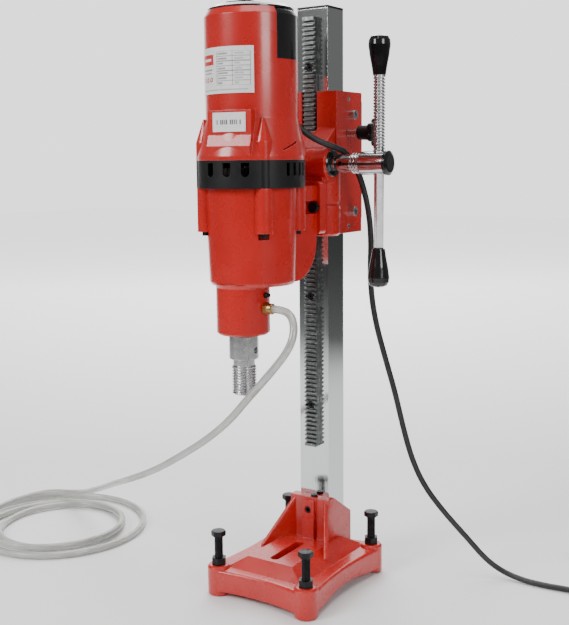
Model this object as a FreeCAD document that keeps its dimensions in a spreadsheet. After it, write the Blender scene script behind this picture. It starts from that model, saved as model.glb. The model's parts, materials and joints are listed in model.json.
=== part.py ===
import FreeCAD, Part
import Sketcher
import math
import os
from FreeCAD import Placement, Rotation, Vector

# Core drill rig: a cast base with a square column, a carriage moved along the
# column by a rack, pinion and crank, and a wet core drill bolted to the carriage.
# Millimetres, +Z up. Places are measured from the column's axis at floor level and
# moved by frame_x and frame_y, so that the origin is under the middle of the rig.

DIMENSIONS = {
    # base casting
    "bolt_span_x": 143, "bolt_span_y": 179, "bolt_rear_y": 19, "foot_radius": 16,
    "boss_height": 42, "skirt_height": 38, "skirt_bottom": 8, "side_waist": 8, "deck_height": 54,
    "base_wall": 8, "deck_thickness": 9, "socket_height": 115, "socket_wall": 8,
    "socket_front_wall": 15, "socket_floor": 16, "socket_drop": 33, "slot_width": 13, "slot_length": 74,
    "slot_centre_y": -95, "gusset_thickness": 7, "gusset_run_x": 28, "gusset_run_y": 46,
    # levelling screws
    "level_radius": 6, "level_head_under": 83, "level_end": 6, "hex_flat": 18, "hex_height": 7.5,
    "nut_height": 10, "running_gap": 0.05,
    # column and rack
    "column_width": 48, "column_depth": 42, "column_wall": 4, "column_top": 800, "cap_thickness": 3,
    "rack_width": 18, "rack_depth": 12, "rack_bottom": 190, "rack_top": 788, "rack_module": 2,
    "pinion_teeth": 14,
    # carriage
    "carriage_bottom": 496, "carriage_top": 689, "carriage_half": 43, "carriage_front": 30,
    "carriage_rear": 42, "pad_room": 3, "pad_gap": 0.1, "rack_gap": 3, "crank_height": 592,
    "boss_radius": 25, "boss_half": 46, "mount_face": 63, "pillar_radius": 23, "pillar_x": 24,
    "back_plate": 4, "knob_height": 633, "gib_screw_upper": 658, "gib_screw_lower": 526,
    # crank
    "shaft_radius": 8, "hub_radius": 15.3, "bar_x": 116, "bar_radius": 8, "bar_reach": 163,
    "grip_length": 51, "grip_radius": 14.5, "hub_end": 127,
    # drill
    "spindle_y": -192, "motor_y": -166, "lay_y": -148, "nose_radius": 34, "nose_bottom": 379,
    "nose_top": 441, "gearbox_top": 563, "band_top": 597, "band_radius": 68, "gearbox_radius": 58.5,
    "barrel_radius": 58.5, "flare_top": 648, "barrel_top": 779, "shell_wall": 3.5, "flange_half": 46,
    "flange_depth": 15, "flange_bottom": 499, "lug_angle": 50, "lug_radius": 11, "lug_reach": 58,
    "lug_bottom": 508, "spindle_radius": 15, "thread_radius": 15.875, "spindle_end": 300,
    "collar_radius": 19, "collar_bottom": 346.5, "collar_top": 376.5, "bearing_outer": 26,
    # supply lines
    "hose_radius": 5, "cord_radius": 4,
}

doc = FreeCAD.newDocument("core_drill_rig")
sheet = doc.addObject("Spreadsheet::Sheet", "Sizes")
for row, (alias, number) in enumerate(DIMENSIONS.items(), start=1):
    sheet.set(f"A{row}", alias)
    sheet.set(f"B{row}", str(number))
    sheet.setAlias(f"B{row}", alias)
doc.recompute()


class Size:
    """A number together with the spreadsheet formula that it comes from."""

    def __init__(self, value, text):
        self.value = float(value)
        self.text = text

    def __add__(self, other):
        return combine(self, other, "+")

    def __radd__(self, other):
        return combine(other, self, "+")

    def __sub__(self, other):
        return combine(self, other, "-")

    def __rsub__(self, other):
        return combine(other, self, "-")

    def __mul__(self, other):
        return combine(self, other, "*")

    def __rmul__(self, other):
        return combine(other, self, "*")

    def __truediv__(self, other):
        return combine(self, other, "/")

    def __neg__(self):
        return combine(0, self, "-")

    def __float__(self):
        return self.value


def as_size(value):
    return value if isinstance(value, Size) else Size(value, f"({float(value):.6f})")


def combine(first, second, sign):
    one, two = as_size(first), as_size(second)
    if sign == "+":
        value = one.value + two.value
    elif sign == "-":
        value = one.value - two.value
    elif sign == "*":
        value = one.value * two.value
    else:
        value = one.value / two.value
    return Size(value, f"({one.text} {sign} {two.text})")


class Sizes:
    """Every spreadsheet alias as a Size."""


D = Sizes()
for alias in DIMENSIONS:
    setattr(D, alias, Size(getattr(sheet, alias), f"Sizes.{alias}"))

# Places shared by several pieces, measured from the column's axis.
column_front = -D.column_depth / 2
rack_face = column_front - D.rack_depth
pinion_pitch_radius = D.rack_module * D.pinion_teeth / 2
crank_y = rack_face + D.rack_module - pinion_pitch_radius
bolt_front_y = D.bolt_rear_y - D.bolt_span_y
base_half = D.bolt_span_x / 2 + D.foot_radius
crank_end = D.hub_end + 6
rig_rear = D.carriage_rear + D.back_plate
head_y = D.motor_y - 4
rig_front = head_y - D.band_radius
frame_x = (base_half - crank_end) / 2
frame_y = -(rig_rear + rig_front) / 2
AXIS_TURN = {
    "X": Rotation(Vector(0, 1, 0), 90),
    "Y": Rotation(Vector(1, 0, 0), -90),
    "Z": Rotation(),
}
NODES = []


def bind(item, **sizes):
    for name, value in sizes.items():
        item.setExpression(name, as_size(value).text)


def locate(item, x, y, z, turn=None):
    """Turn an object, and tie its place to the sheet and to the frame's shift."""
    item.Placement = Placement(Vector(), turn or Rotation())
    item.setExpression("Placement.Base.x", (frame_x + x).text)
    item.setExpression("Placement.Base.y", (frame_y + y).text)
    item.setExpression("Placement.Base.z", as_size(z).text)
    return item


def box(low, high):
    """A block between two corners."""
    item = doc.addObject("Part::Box", "Block")
    bind(item, Length=high[0] - as_size(low[0]), Width=high[1] - as_size(low[1]),
         Height=high[2] - as_size(low[2]))
    return locate(item, *low)


def rod(radius, length, start, axis="Z"):
    """A round bar from a start point along an axis."""
    item = doc.addObject("Part::Cylinder", "Rod")
    bind(item, Radius=radius, Height=length)
    return locate(item, *start, AXIS_TURN[axis])


def taper(first, last, length, start, axis="Z"):
    item = doc.addObject("Part::Cone", "Taper")
    bind(item, Radius1=first, Radius2=last, Height=length)
    return locate(item, *start, AXIS_TURN[axis])


def hexagon(flat, length, start, axis="Z"):
    item = doc.addObject("Part::Prism", "Hexagon")
    item.Polygon = 6
    bind(item, Circumradius=flat / math.sqrt(3), Height=length)
    return locate(item, *start, AXIS_TURN[axis])


def join(*items):
    if len(items) == 1:
        return items[0]
    item = doc.addObject("Part::MultiFuse", "Join")
    item.Shapes = list(items)
    return item


def cut(base, *tools):
    item = doc.addObject("Part::Cut", "Cut")
    item.Base = base
    item.Tool = join(*tools)
    return item


def group(*items):
    """Several separate solids kept as one node."""
    item = doc.addObject("Part::Compound", "Group")
    item.Links = list(items)
    return item


def closed_sketch(body, plane, points):
    """A closed outline whose every corner is tied to the sheet."""
    sketch = body.newObject("Sketcher::SketchObject", "Outline")
    origin = [f for f in body.Origin.OriginFeatures if f.Role == plane][0]
    sketch.AttachmentSupport = (origin, "")
    sketch.MapMode = "FlatFace"
    corners = [(as_size(a), as_size(b)) for a, b in points]
    places = [Vector(float(a), float(b), 0) for a, b in corners]
    for number, place in enumerate(places):
        following = places[(number + 1) % len(places)]
        sketch.addGeometry(Part.LineSegment(place, following), False)
    for number in range(len(places)):
        following = (number + 1) % len(places)
        sketch.addConstraint(Sketcher.Constraint("Coincident", number, 2, following, 1))
    for number, (across, along) in enumerate(corners):
        for kind, value in (("DistanceX", across), ("DistanceY", along)):
            if abs(float(value)) < 1e-9:
                line = -2 if kind == "DistanceX" else -1
                sketch.addConstraint(Sketcher.Constraint("PointOnObject", number, 1, line))
                continue
            index = sketch.addConstraint(
                Sketcher.Constraint(kind, -1, 1, number, 1, float(value)))
            sketch.setExpression(f"Constraints[{index}]", value.text)
    return sketch


def lathe(profile, centre, axis="Z"):
    """A turned piece: (radius, height) corners revolved about an axis through centre."""
    body = doc.addObject("PartDesign::Body", "Turned")
    sketch = closed_sketch(body, "XZ_Plane", profile)
    turned = body.newObject("PartDesign::Revolution", "Revolution")
    turned.Profile = sketch
    turned.ReferenceAxis = (sketch, ["V_Axis"])
    turned.Angle = 360
    sketch.Visibility = False
    body.Tip = turned
    return locate(body, *centre, AXIS_TURN[axis])


def prism(outline, length, start, plane="XY_Plane", turn=None):
    """A straight piece: an outline padded at right angles to its plane."""
    body = doc.addObject("PartDesign::Body", "Padded")
    sketch = closed_sketch(body, plane, outline)
    pad = body.newObject("PartDesign::Pad", "Pad")
    pad.Profile = sketch
    bind(pad, Length=length)
    body.Tip = pad
    return locate(body, *start, turn)


def free_form(shape, x=0, y=0, z=0):
    """A piece whose outline no primitive or sketch gives, from sheet values."""
    own_place = shape.Placement.toMatrix()
    settled = shape.copy()
    settled.Placement = Placement()
    settled.transformShape(own_place, True)
    item = doc.addObject("Part::Feature", "Form")
    item.Shape = settled
    return locate(item, x, y, z)


def node(label, item):
    item.Label = label
    NODES.append(item)
    return item


# ---------------------------------------------------------------- outlines by formula

def gear_outline(module, teeth, backlash=0.12, tip=0.95, root=1.2, turn=0.0):
    """Involute teeth: one tooth's centre lies at angle turn (radians)."""
    module, teeth = float(module), int(float(teeth))
    pitch, base = module * teeth / 2, module * teeth / 2 * math.cos(math.radians(20))
    outer, inner = pitch + tip * module, pitch - root * module
    half = math.pi / (2 * teeth) - backlash / (2 * pitch)
    lean = math.tan(math.radians(20)) - math.radians(20)
    start = max(base, inner)
    corners = []
    for tooth in range(teeth):
        middle = turn + 2 * math.pi * tooth / teeth
        flank = [(inner, half + lean)]
        for step in range(5):
            radius = start + (outer - start) * step / 4
            roll = math.sqrt(max(0.0, (radius / base) ** 2 - 1))
            flank.append((radius, half + lean - (roll - math.atan(roll))))
        if start == inner:
            flank = flank[1:]
        left = [(r, middle - a) for r, a in flank]
        right = [(r, middle + a) for r, a in reversed(flank)]
        corners += [Vector(r * math.cos(a), r * math.sin(a), 0) for r, a in left + right]
    return Part.Wire(Part.makePolygon(corners + corners[:1]))


def gear(module, teeth, bore, thickness, turn=0.0):
    face = Part.Face(gear_outline(module, teeth, turn=turn))
    solid = face.extrude(Vector(0, 0, float(thickness)))
    return solid.cut(Part.makeCylinder(float(bore), float(thickness)))


def along_x(shape):
    """A shape drawn about Z, laid down so that its Z runs along X and its X along -Z."""
    laid = shape.copy()
    laid.Placement = Placement(Vector(), AXIS_TURN["X"])
    return laid


def ring(outer, inner, low, high, x, y):
    """An upright sleeve."""
    length = high - as_size(low)
    return cut(rod(outer, length, (x, y, low)), rod(inner, length + 2, (x, y, low - 1)))


def tube_on_route(route, radius):
    """Straight runs joined by tangent arcs, with a round section carried along them."""
    points = [Vector(*p) for p in route]
    edges, last = [], points[0]
    radii = []
    for before, corner, after in zip(points, points[1:], points[2:]):
        inward, outward = (corner - before), (after - corner)
        turn = inward.getAngle(outward)
        reach = 0.45 * min(inward.Length, outward.Length)
        radii.append(reach / math.tan(turn / 2))
        start = corner - inward.normalize() * reach
        finish = corner + outward.normalize() * reach
        centre_way = (outward - inward).normalize()
        middle = corner + centre_way * (radii[-1] / math.cos(turn / 2) - radii[-1])
        edges.append(Part.LineSegment(last, start).toShape())
        edges.append(Part.Arc(start, middle, finish).toShape())
        last = finish
    edges.append(Part.LineSegment(last, points[-1]).toShape())
    spine = Part.Wire(edges)
    circle = Part.Circle(points[0], points[1] - points[0], radius).toShape()
    solid = spine.makePipeShell([Part.Wire(circle)], True, True)
    print("tube", round(spine.Length), "mm, radii", [round(r) for r in radii],
          "volume share", round(solid.Volume / (math.pi * radius ** 2 * spine.Length), 4))
    return solid


# ---------------------------------------------------------------- stand

def base_outline():
    """Four round corners joined by sides that curve inwards."""
    half_x, front, rear = float(D.bolt_span_x) / 2, float(bolt_front_y), float(D.bolt_rear_y)
    foot, waist, slant = float(D.foot_radius), float(D.side_waist), math.sqrt(0.5)
    middle_y = (front + rear) / 2
    stops = []
    for x, y, sx, sy in ((half_x, front, 1, -1), (half_x, rear, 1, 1),
                         (-half_x, rear, -1, 1), (-half_x, front, -1, -1)):
        on_end = Vector(x, y + sy * foot, 0)
        on_side = Vector(x + sx * foot, y, 0)
        round_point = Vector(x + sx * foot * slant, y + sy * foot * slant, 0)
        order = (on_end, round_point, on_side) if sx * sy < 0 else (on_side, round_point, on_end)
        stops.append(order)
    waists = [Vector(half_x + foot - waist, middle_y, 0), Vector(0, rear + foot - waist, 0),
              Vector(-half_x - foot + waist, middle_y, 0), Vector(0, front - foot + waist, 0)]
    edges = []
    for number, (first, middle, last) in enumerate(stops):
        edges.append(Part.Arc(first, middle, last).toShape())
        following = stops[(number + 1) % 4][0]
        edges.append(Part.Arc(last, waists[number], following).toShape())
    return Part.Face(Part.Wire(edges))


def deck_crown():
    """A low pyramid without its point, from the skirt up to the deck around the slot."""
    def level(half, front, rear, height):
        corners = [Vector(-half, front, height), Vector(half, front, height),
                   Vector(half, rear, height), Vector(-half, rear, height)]
        return Part.Wire(Part.makePolygon(corners + corners[:1]))
    half_x, front, rear = float(D.bolt_span_x) / 2, float(bolt_front_y), float(D.bolt_rear_y)
    low = level(half_x - 4, front + 2, rear + 6, float(D.skirt_height) - 4)
    slot_front = float(D.slot_centre_y - D.slot_length / 2)
    high = level(0.5 * half_x, slot_front - 8, -float(D.socket_wall), float(D.deck_height))
    return Part.makeLoft([low, high], True, True)


def gusset(side):
    """A sloping web from the socket's front corner out to the deck."""
    start = D.column_width / 2 + 2
    lean = math.degrees(math.atan2(-float(D.gusset_run_y), float(D.gusset_run_x)))
    run = math.hypot(float(D.gusset_run_x), float(D.gusset_run_y))
    turn = Rotation(Vector(0, 0, 1), lean if side > 0 else 180 - lean)
    half = float(D.gusset_thickness) / 2
    low, foot, high = 36, float(D.deck_height) - 6, float(D.socket_height) - 2
    corners = [Vector(-6, 0, low), Vector(run, 0, low), Vector(run, 0, foot), Vector(0, 0, high),
               Vector(-6, 0, high)]
    face = Part.Face(Part.Wire(Part.makePolygon(corners + corners[:1])))
    web = face.extrude(Vector(0, 2 * half, 0))
    web.translate(Vector(0, -half, 0))
    slope = [e for e in web.Edges if abs(e.tangentAt(e.FirstParameter).z) > 0.2
             and abs(e.tangentAt(e.FirstParameter).z) < 0.95]
    web = web.makeFillet(half * 0.8, slope)
    web.Placement = Placement(Vector(), turn).multiply(web.Placement)
    return free_form(web, side * start, column_front - D.socket_front_wall + 2)


def base_casting():
    skirt = base_outline().extrude(Vector(0, 0, float(D.skirt_height - D.skirt_bottom)))
    rim = [e for e in skirt.Edges if e.BoundBox.ZMin > float(D.skirt_height - D.skirt_bottom) - 0.01]
    skirt = skirt.makeFillet(4, rim)
    solids = [free_form(skirt, 0, 0, D.skirt_bottom), free_form(deck_crown())]
    corners = [(sx * D.bolt_span_x / 2, y) for sx in (-1, 1) for y in (bolt_front_y, D.bolt_rear_y)]
    for x, y in corners:
        solids.append(lathe([(0, 0), (D.foot_radius - 1.5, 0), (D.foot_radius, 1.5),
                             (D.foot_radius, D.boss_height - 2.5),
                             (D.foot_radius - 2.5, D.boss_height), (0, D.boss_height)], (x, y, 0)))
    outer_x = D.column_width / 2 + D.socket_wall
    front = column_front - D.socket_front_wall
    rear = -column_front + D.socket_wall - 1
    # the socket's side view: a level front ledge, then a top that falls to the rear
    side_view = [(front, 12), (rear, 12), (rear, D.socket_height - D.socket_drop),
                 (column_front, D.socket_height), (front, D.socket_height)]
    solids.append(prism(side_view, 2 * outer_x, (-outer_x, 0, 0), "YZ_Plane"))
    solids.append(box((-10, front - 5, D.deck_height - 10), (10, front + 2, D.socket_height - 4)))
    solids += [gusset(1), gusset(-1)]
    whole = join(*solids)
    wall = D.base_wall
    inner_x = base_half - D.side_waist - wall
    inner_front = bolt_front_y - D.foot_radius + D.side_waist + wall
    ceiling = D.skirt_height - D.deck_thickness
    clear = D.foot_radius + 3
    hollow_long = box((clear - D.bolt_span_x / 2, inner_front, -1),
                      (D.bolt_span_x / 2 - clear, front - 2, ceiling))
    hollow_wide = box((-inner_x, bolt_front_y + clear, -1), (inner_x, front - 2, ceiling))
    hollow_sides = [box((low, front - 3, -1), (high, D.bolt_rear_y - clear, ceiling))
                    for low, high in ((-inner_x, -outer_x - 2), (outer_x + 2, inner_x))]
    gap = D.running_gap
    passage = box((-D.column_width / 2 - gap, column_front - gap, D.socket_floor),
                  (D.column_width / 2 + gap, -column_front + gap, D.socket_height + 20))
    half_slot = D.slot_width / 2
    slot_low, slot_high = D.slot_centre_y - D.slot_length / 2, D.slot_centre_y + D.slot_length / 2
    slot = [box((-half_slot, slot_low + half_slot, 0), (half_slot, slot_high - half_slot, 80)),
            rod(half_slot, 80, (0, slot_low + half_slot, 0)),
            rod(half_slot, 80, (0, slot_high - half_slot, 0))]
    holes = [rod(D.level_radius + gap, D.boss_height + 2, (x, y, -1)) for x, y in corners]
    arch_radius = 300
    arch = rod(arch_radius, 2 * base_half + 20,
               (-base_half - 10, (bolt_front_y + D.bolt_rear_y) / 2, 14 - arch_radius), "X")
    screw_hole = rod(5 + gap, 30, (0, front - 6, clamp_height), "Y")
    ledge_hole = rod(3 + gap, 10, (4, column_front - 8, D.socket_height - 8))
    return cut(whole, hollow_long, hollow_wide, *hollow_sides, passage, *slot,
               *holes, arch, screw_hole, ledge_hole)


clamp_height = D.socket_height - 18
node("base_casting", base_casting())

column_half = D.column_width / 2
column_shell = cut(
    box((-column_half, column_front, D.socket_floor), (column_half, -column_front, D.column_top)),
    box((-column_half + D.column_wall, column_front + D.column_wall, D.socket_floor - 1),
        (column_half - D.column_wall, -column_front - D.column_wall, D.column_top + 1)))
rack_screw_heights = [D.rack_bottom + 60.7 + 156.8 * number for number in range(4)]
column_holes = [rod(3, 10, (0, column_front - 1, z), "Y") for z in rack_screw_heights]
node("column_tube", cut(column_shell, *column_holes))

plug_half_x = column_half - D.column_wall - 0.1
plug_half_y = D.column_depth / 2 - D.column_wall - 0.1
node("column_cap", join(
    box((-column_half, column_front, D.column_top),
        (column_half, -column_front, D.column_top + D.cap_thickness)),
    box((-plug_half_x, -plug_half_y, D.column_top - 12),
        (plug_half_x, plug_half_y, D.column_top + 1))))


def rack_shape():
    """A toothed bar, its tooth gaps in step with the pinion at the crank's height."""
    module = float(D.rack_module)
    pitch, low, high = math.pi * module, float(D.rack_bottom), float(D.rack_top)
    tip, root = float(rack_face), float(rack_face) + 2.2 * module
    back = float(column_front)
    slope = math.tan(math.radians(20))
    pitch_line = tip + module
    half_gap = pitch / 4 + 0.08
    corners = [Vector(0, back, low), Vector(0, tip, low)]
    first = math.ceil((low + 0.6 * pitch - float(D.crank_height)) / pitch)
    last = math.floor((high - 0.6 * pitch - float(D.crank_height)) / pitch)
    for number in range(first, last + 1):
        middle = float(D.crank_height) + number * pitch
        mouth = half_gap + (pitch_line - tip) * slope
        floor = half_gap - (root - pitch_line) * slope
        corners += [Vector(0, tip, middle - mouth), Vector(0, root, middle - floor),
                    Vector(0, root, middle + floor), Vector(0, tip, middle + mouth)]
    corners += [Vector(0, tip, high), Vector(0, back, high)]
    face = Part.Face(Part.Wire(Part.makePolygon(corners + corners[:1])))
    bar = face.extrude(Vector(float(D.rack_width), 0, 0))
    bar.translate(Vector(-float(D.rack_width) / 2, 0, 0))
    return bar


# countersunk screws that hold the rack on the column
screw_head, screw_shank, head_depth = 6.0, 3.0, 3.5
screw_face = rack_face + 2.2 * D.rack_module
rack_cuts = []
for z in rack_screw_heights:
    rack_cuts.append(rod(screw_head + 0.6, 2.2 * D.rack_module + 0.01, (0, rack_face, z), "Y"))
    rack_cuts.append(taper(screw_head, screw_shank, head_depth, (0, screw_face, z), "Y"))
    rack_cuts.append(rod(screw_shank, D.rack_depth, (0, screw_face, z), "Y"))
node("gear_rack", cut(free_form(rack_shape()), *rack_cuts))


def countersunk(z):
    head = taper(screw_head - 0.05, screw_shank - 0.05, head_depth, (0, screw_face, z), "Y")
    shank = rod(screw_shank - 0.05, D.rack_depth - 2.2 * D.rack_module + 3.5, (0, screw_face, z), "Y")
    socket = hexagon(4, 2.2, (0, screw_face - 0.01, z), "Y")
    return cut(join(head, shank), socket)


node("rack_screws", group(*[countersunk(z) for z in rack_screw_heights]))

clamp_front = column_front - D.socket_front_wall - 5
node("column_screws", group(
    cut(rod(5, 19, (0, clamp_front + 1, clamp_height), "Y"),
        hexagon(5, 4, (0, clamp_front + 0.99, clamp_height), "Y")),
    cut(join(rod(3, 8, (4, column_front - 8, D.socket_height - 8)),
             rod(5, 3, (4, column_front - 8, D.socket_height))),
        hexagon(3, 2, (4, column_front - 8, D.socket_height + 1.01)))))

level_places = {
    "front_left": (-D.bolt_span_x / 2, bolt_front_y), "front_right": (D.bolt_span_x / 2, bolt_front_y),
    "rear_left": (-D.bolt_span_x / 2, D.bolt_rear_y), "rear_right": (D.bolt_span_x / 2, D.bolt_rear_y),
}
for name, (x, y) in level_places.items():
    shank = lathe([(0, D.level_end), (D.level_radius - 2, D.level_end),
                   (D.level_radius, D.level_end + 2), (D.level_radius, D.level_head_under),
                   (0, D.level_head_under)], (x, y, 0))
    head = hexagon(D.hex_flat, D.hex_height, (x, y, D.level_head_under))
    node(f"level_screw_{name}", join(shank, head))
lock_nuts = []
for x, y in level_places.values():
    lock_nuts.append(cut(hexagon(D.hex_flat, D.nut_height, (x, y, D.boss_height)),
                         rod(D.level_radius + D.running_gap, D.nut_height, (x, y, D.boss_height))))
node("level_lock_nuts", group(*lock_nuts))


# ---------------------------------------------------------------- carriage

def carriage_casting():
    half, front, rear = D.carriage_half, -D.carriage_front, D.carriage_rear
    low, high = D.carriage_bottom, D.carriage_top
    chamfer = 2.5
    plan = [(-half, front), (half, front), (half, rear - chamfer), (half - chamfer, rear),
            (-half + chamfer, rear), (-half, rear - chamfer)]
    solids = [prism(plan, high - low, (0, 0, low))]
    # the pinion housing's side view: a slope from the front lips down to the round boss
    view = [(front + 1, low), (front + 1, D.knob_height + 7), (crank_y - 15, D.crank_height + 21),
            (-D.mount_face, D.crank_height + 10), (-D.mount_face, low)]
    solids.append(prism(view, 2 * (half - 3), (-half + 3, 0, 0), "YZ_Plane"))
    solids.append(rod(D.boss_radius, 2 * D.boss_half, (-D.boss_half, crank_y, D.crank_height), "X"))
    groove = 2.0
    groove_low = low + 39
    for side in (1, -1):
        place = (side * D.pillar_x, -33, 0)
        solids.append(lathe([(0, low - 2), (D.pillar_radius - 3, low - 2), (D.pillar_radius, low + 1),
                             (D.pillar_radius, groove_low), (D.pillar_radius - groove, groove_low + groove),
                             (D.pillar_radius - groove, groove_low + groove + 1.5),
                             (D.pillar_radius, groove_low + groove + 3), (D.pillar_radius, D.crank_height - 8),
                             (0, D.crank_height - 8)], place))
    whole = join(*solids)
    room = D.pad_room
    passage = box((-column_half - room, column_front - room, low - 10),
                  (column_half + room, -column_front + room, high + 10))
    rack_slot = box((-D.rack_width / 2 - D.rack_gap, rack_face - D.rack_gap, low - 10),
                    (D.rack_width / 2 + D.rack_gap, column_front, high + 10))
    lip_slot = box((-D.rack_width / 2 - D.rack_gap, front - 8, D.knob_height + 2),
                   (D.rack_width / 2 + D.rack_gap, column_front, high + 10))
    gear_room = rod(pinion_pitch_radius + 2 * D.rack_module, D.rack_width + 2,
                    (-D.rack_width / 2 - 1, crank_y, D.crank_height), "X")
    bush_bore = rod(bush_radius, 2 * D.boss_half + 2, (-D.boss_half - 1, crank_y, D.crank_height), "X")
    cap_recess = rod(cap_radius + 0.1, 5, (D.boss_half - 4, crank_y, D.crank_height), "X")
    holes = [rod(4.05, 20, (column_half + room - 1, gib_screw_y, z), "X")
             for z in (D.gib_screw_upper, D.gib_screw_lower)]
    holes += [rod(3.05, 20, (column_half + room - 1, 4, z), "X") for z in (high - 10, low + 9)]
    holes.append(rod(5.05, 24, (column_half + room - 1, 0, D.knob_height), "X"))
    holes += [rod(4.05, 12, (side * mount_bolt_x, -D.mount_face - 1, mount_bolt_z), "Y")
              for side in (1, -1)]
    plate_holes = [rod(2.55, 12, (x, D.carriage_rear - 11, z), "Y") for x, z in back_screw_places]
    return cut(whole, passage, rack_slot, lip_slot, gear_room, bush_bore, cap_recess, *holes, *plate_holes)


bush_radius, cap_radius = as_size(12), as_size(18)
gib_screw_y = as_size(9)
mount_bolt_x, mount_bolt_z = as_size(38), D.flange_bottom + 36
back_low, back_high = D.carriage_bottom + 19, D.carriage_top - 12
back_screw_places = [(side * 30, z) for side in (1, -1) for z in (back_low + 12, back_high - 12)]
node("carriage_casting", carriage_casting())

back_half = D.carriage_half - 3
back_plate = cut(
    box((-back_half, D.carriage_rear, back_low), (back_half, rig_rear, back_high)),
    *[rod(2.6, 20, (x, D.carriage_rear - 5, z), "Y") for x, z in back_screw_places],
    *[rod(4.6, 2.5, (x, rig_rear - 2.5, z), "Y") for x, z in back_screw_places])
node("carriage_back_plate", back_plate)
back_screws = [
    cut(join(rod(2.5, 12, (x, D.carriage_rear - 9.5, z), "Y"), rod(4.5, 2.2, (x, rig_rear - 2.5, z), "Y")),
        hexagon(3, 1.5, (x, rig_rear - 1.79, z), "Y"))
    for x, z in back_screw_places]

pad_skin = D.pad_room - D.pad_gap
pads = []
for low in (D.carriage_bottom + 4, D.carriage_top - 44):
    high = low + 40
    for side in (1, -1):
        near, far = D.rack_width / 2 + D.rack_gap + 1, column_half
        x_low, x_high = (near, far) if side > 0 else (-far, -near)
        pads.append(box((x_low, column_front - D.pad_room, low), (x_high, column_front - D.pad_gap, high)))
    pads.append(box((-20, -column_front + D.pad_gap, low), (20, -column_front + D.pad_room, high)))
    pads.append(box((-column_half - D.pad_room, -16, low), (-column_half - D.pad_gap, 16, high)))
node("guide_pads", group(*pads))
node("gib_strip", box((column_half + D.pad_gap, -16, D.carriage_bottom + 2),
                      (column_half + D.pad_room - 0.5, 16, D.carriage_top - 2)))

gib_back = column_half + D.pad_room - 0.4
gib_length = D.carriage_half + 2 - gib_back
gib_screws = []
for z in (D.gib_screw_upper, D.gib_screw_lower):
    shank = rod(4, gib_length, (gib_back, gib_screw_y, z), "X")
    head = rod(6.5, 8, (D.carriage_half, gib_screw_y, z), "X")
    gib_screws.append(cut(join(shank, head), hexagon(6, 4, (D.carriage_half + 4.01, gib_screw_y, z), "X")))
node("gib_screws", group(*gib_screws))
grub_screws = [
    cut(rod(3, D.carriage_half - gib_back, (gib_back, 4, z), "X"),
        hexagon(3, 3, (D.carriage_half - 2.99, 4, z), "X"))
    for z in (D.carriage_top - 10, D.carriage_bottom + 9)]
node("carriage_screws", group(*back_screws, *grub_screws))

stud_end = as_size(70)
lock_stud = rod(5, stud_end - gib_back, (gib_back, 0, D.knob_height), "X")


def star_knob():
    """A hub that widens into a head with six round lobes."""
    hub_start, head_start, head_end = as_size(61), as_size(82), as_size(92)
    hub = lathe([(0, hub_start), (8.5, hub_start), (9.5, hub_start + 1), (10.5, head_start + 1),
                 (0, head_start + 1)], (0, 0, D.knob_height), "X")
    disc = lathe([(0, head_start), (13, head_start), (15, head_start + 2), (15, head_end - 3),
                  (11, head_end), (0, head_end)], (0, 0, D.knob_height), "X")
    lobes = []
    for number in range(6):
        angle = math.radians(60 * number + 30)
        y, z = 13.5 * math.cos(angle), 13.5 * math.sin(angle)
        lobes.append(lathe([(0, head_start), (4.5, head_start), (5.5, head_start + 1.5),
                            (5.5, head_end - 3), (4, head_end - 1), (0, head_end - 1)],
                           (0, y, D.knob_height + z), "X"))
    hole = rod(5.02, stud_end - hub_start + 0.02, (hub_start - 0.02, 0, D.knob_height), "X")
    return cut(join(hub, disc, *lobes), hole)


node("lock_knob", group(star_knob(), lock_stud))

bush_bore_radius = D.shaft_radius + D.running_gap
bush_start = D.rack_width / 2 + 2
bush_length = D.boss_half - 5 - bush_start


def bush(start):
    place = (start, crank_y, D.crank_height)
    return cut(rod(bush_radius - 0.02, bush_length, place, "X"),
               rod(bush_bore_radius, bush_length, place, "X"))


node("pinion_bushes", group(bush(bush_start), bush(-bush_start - bush_length)))
cap_place = (D.boss_half - 4, crank_y, D.crank_height)
node("bearing_cap", cut(
    lathe([(0, 0), (cap_radius, 0), (cap_radius, 4), (cap_radius - 1.5, 5.5), (0, 5.5)], cap_place, "X"),
    rod(D.shaft_radius + 2.2, 8, (D.boss_half - 5, crank_y, D.crank_height), "X")))

# ---------------------------------------------------------------- crank

shaft_end = as_size(57)
pinion_half = D.rack_width / 2 - 1
pinion = along_x(gear(D.rack_module, D.pinion_teeth, D.shaft_radius - 1, 2 * pinion_half,
                      turn=math.pi / 2))
node("pinion_shaft", join(
    free_form(pinion, -pinion_half, crank_y, D.crank_height),
    rod(D.shaft_radius, shaft_end + D.boss_half - 6, (6 - D.boss_half, crank_y, D.crank_height), "X")))
crank_place = (0, crank_y, D.crank_height)


def crank_hub():
    """A turned hub: a thin neck, a plain part, three round beads and a thicker end."""
    neck, body, bead, step = D.shaft_radius + 2, as_size(12), as_size(13.6), as_size(4.6)
    start, first_bead = D.boss_half + 2, as_size(77)
    profile = [(0, start), (neck, start), (neck, start + 5), (body, start + 10), (body, first_bead)]
    for number in range(3):
        low = first_bead + step * number
        profile += [(body - 0.6, low + 0.3), (bead, low + 1.5), (bead, low + step - 1.5),
                    (body - 0.6, low + step - 0.3)]
    last = first_bead + 3 * step
    profile += [(D.hub_radius - 1, last), (D.hub_radius, last + 1), (D.hub_radius, D.hub_end),
                (0, D.hub_end)]
    bore = rod(D.shaft_radius + 0.02, shaft_end - start + 0.02,
               (start - 0.02, crank_y, D.crank_height), "X")
    cross = rod(D.bar_radius + 0.02, 60, (D.bar_x, crank_y, D.crank_height - 30))
    pin_hole = rod(3.02, 8, (pin_x, crank_y - 12.9, D.crank_height), "Y")
    return cut(lathe(profile, crank_place, "X"), bore, cross, pin_hole)


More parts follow.
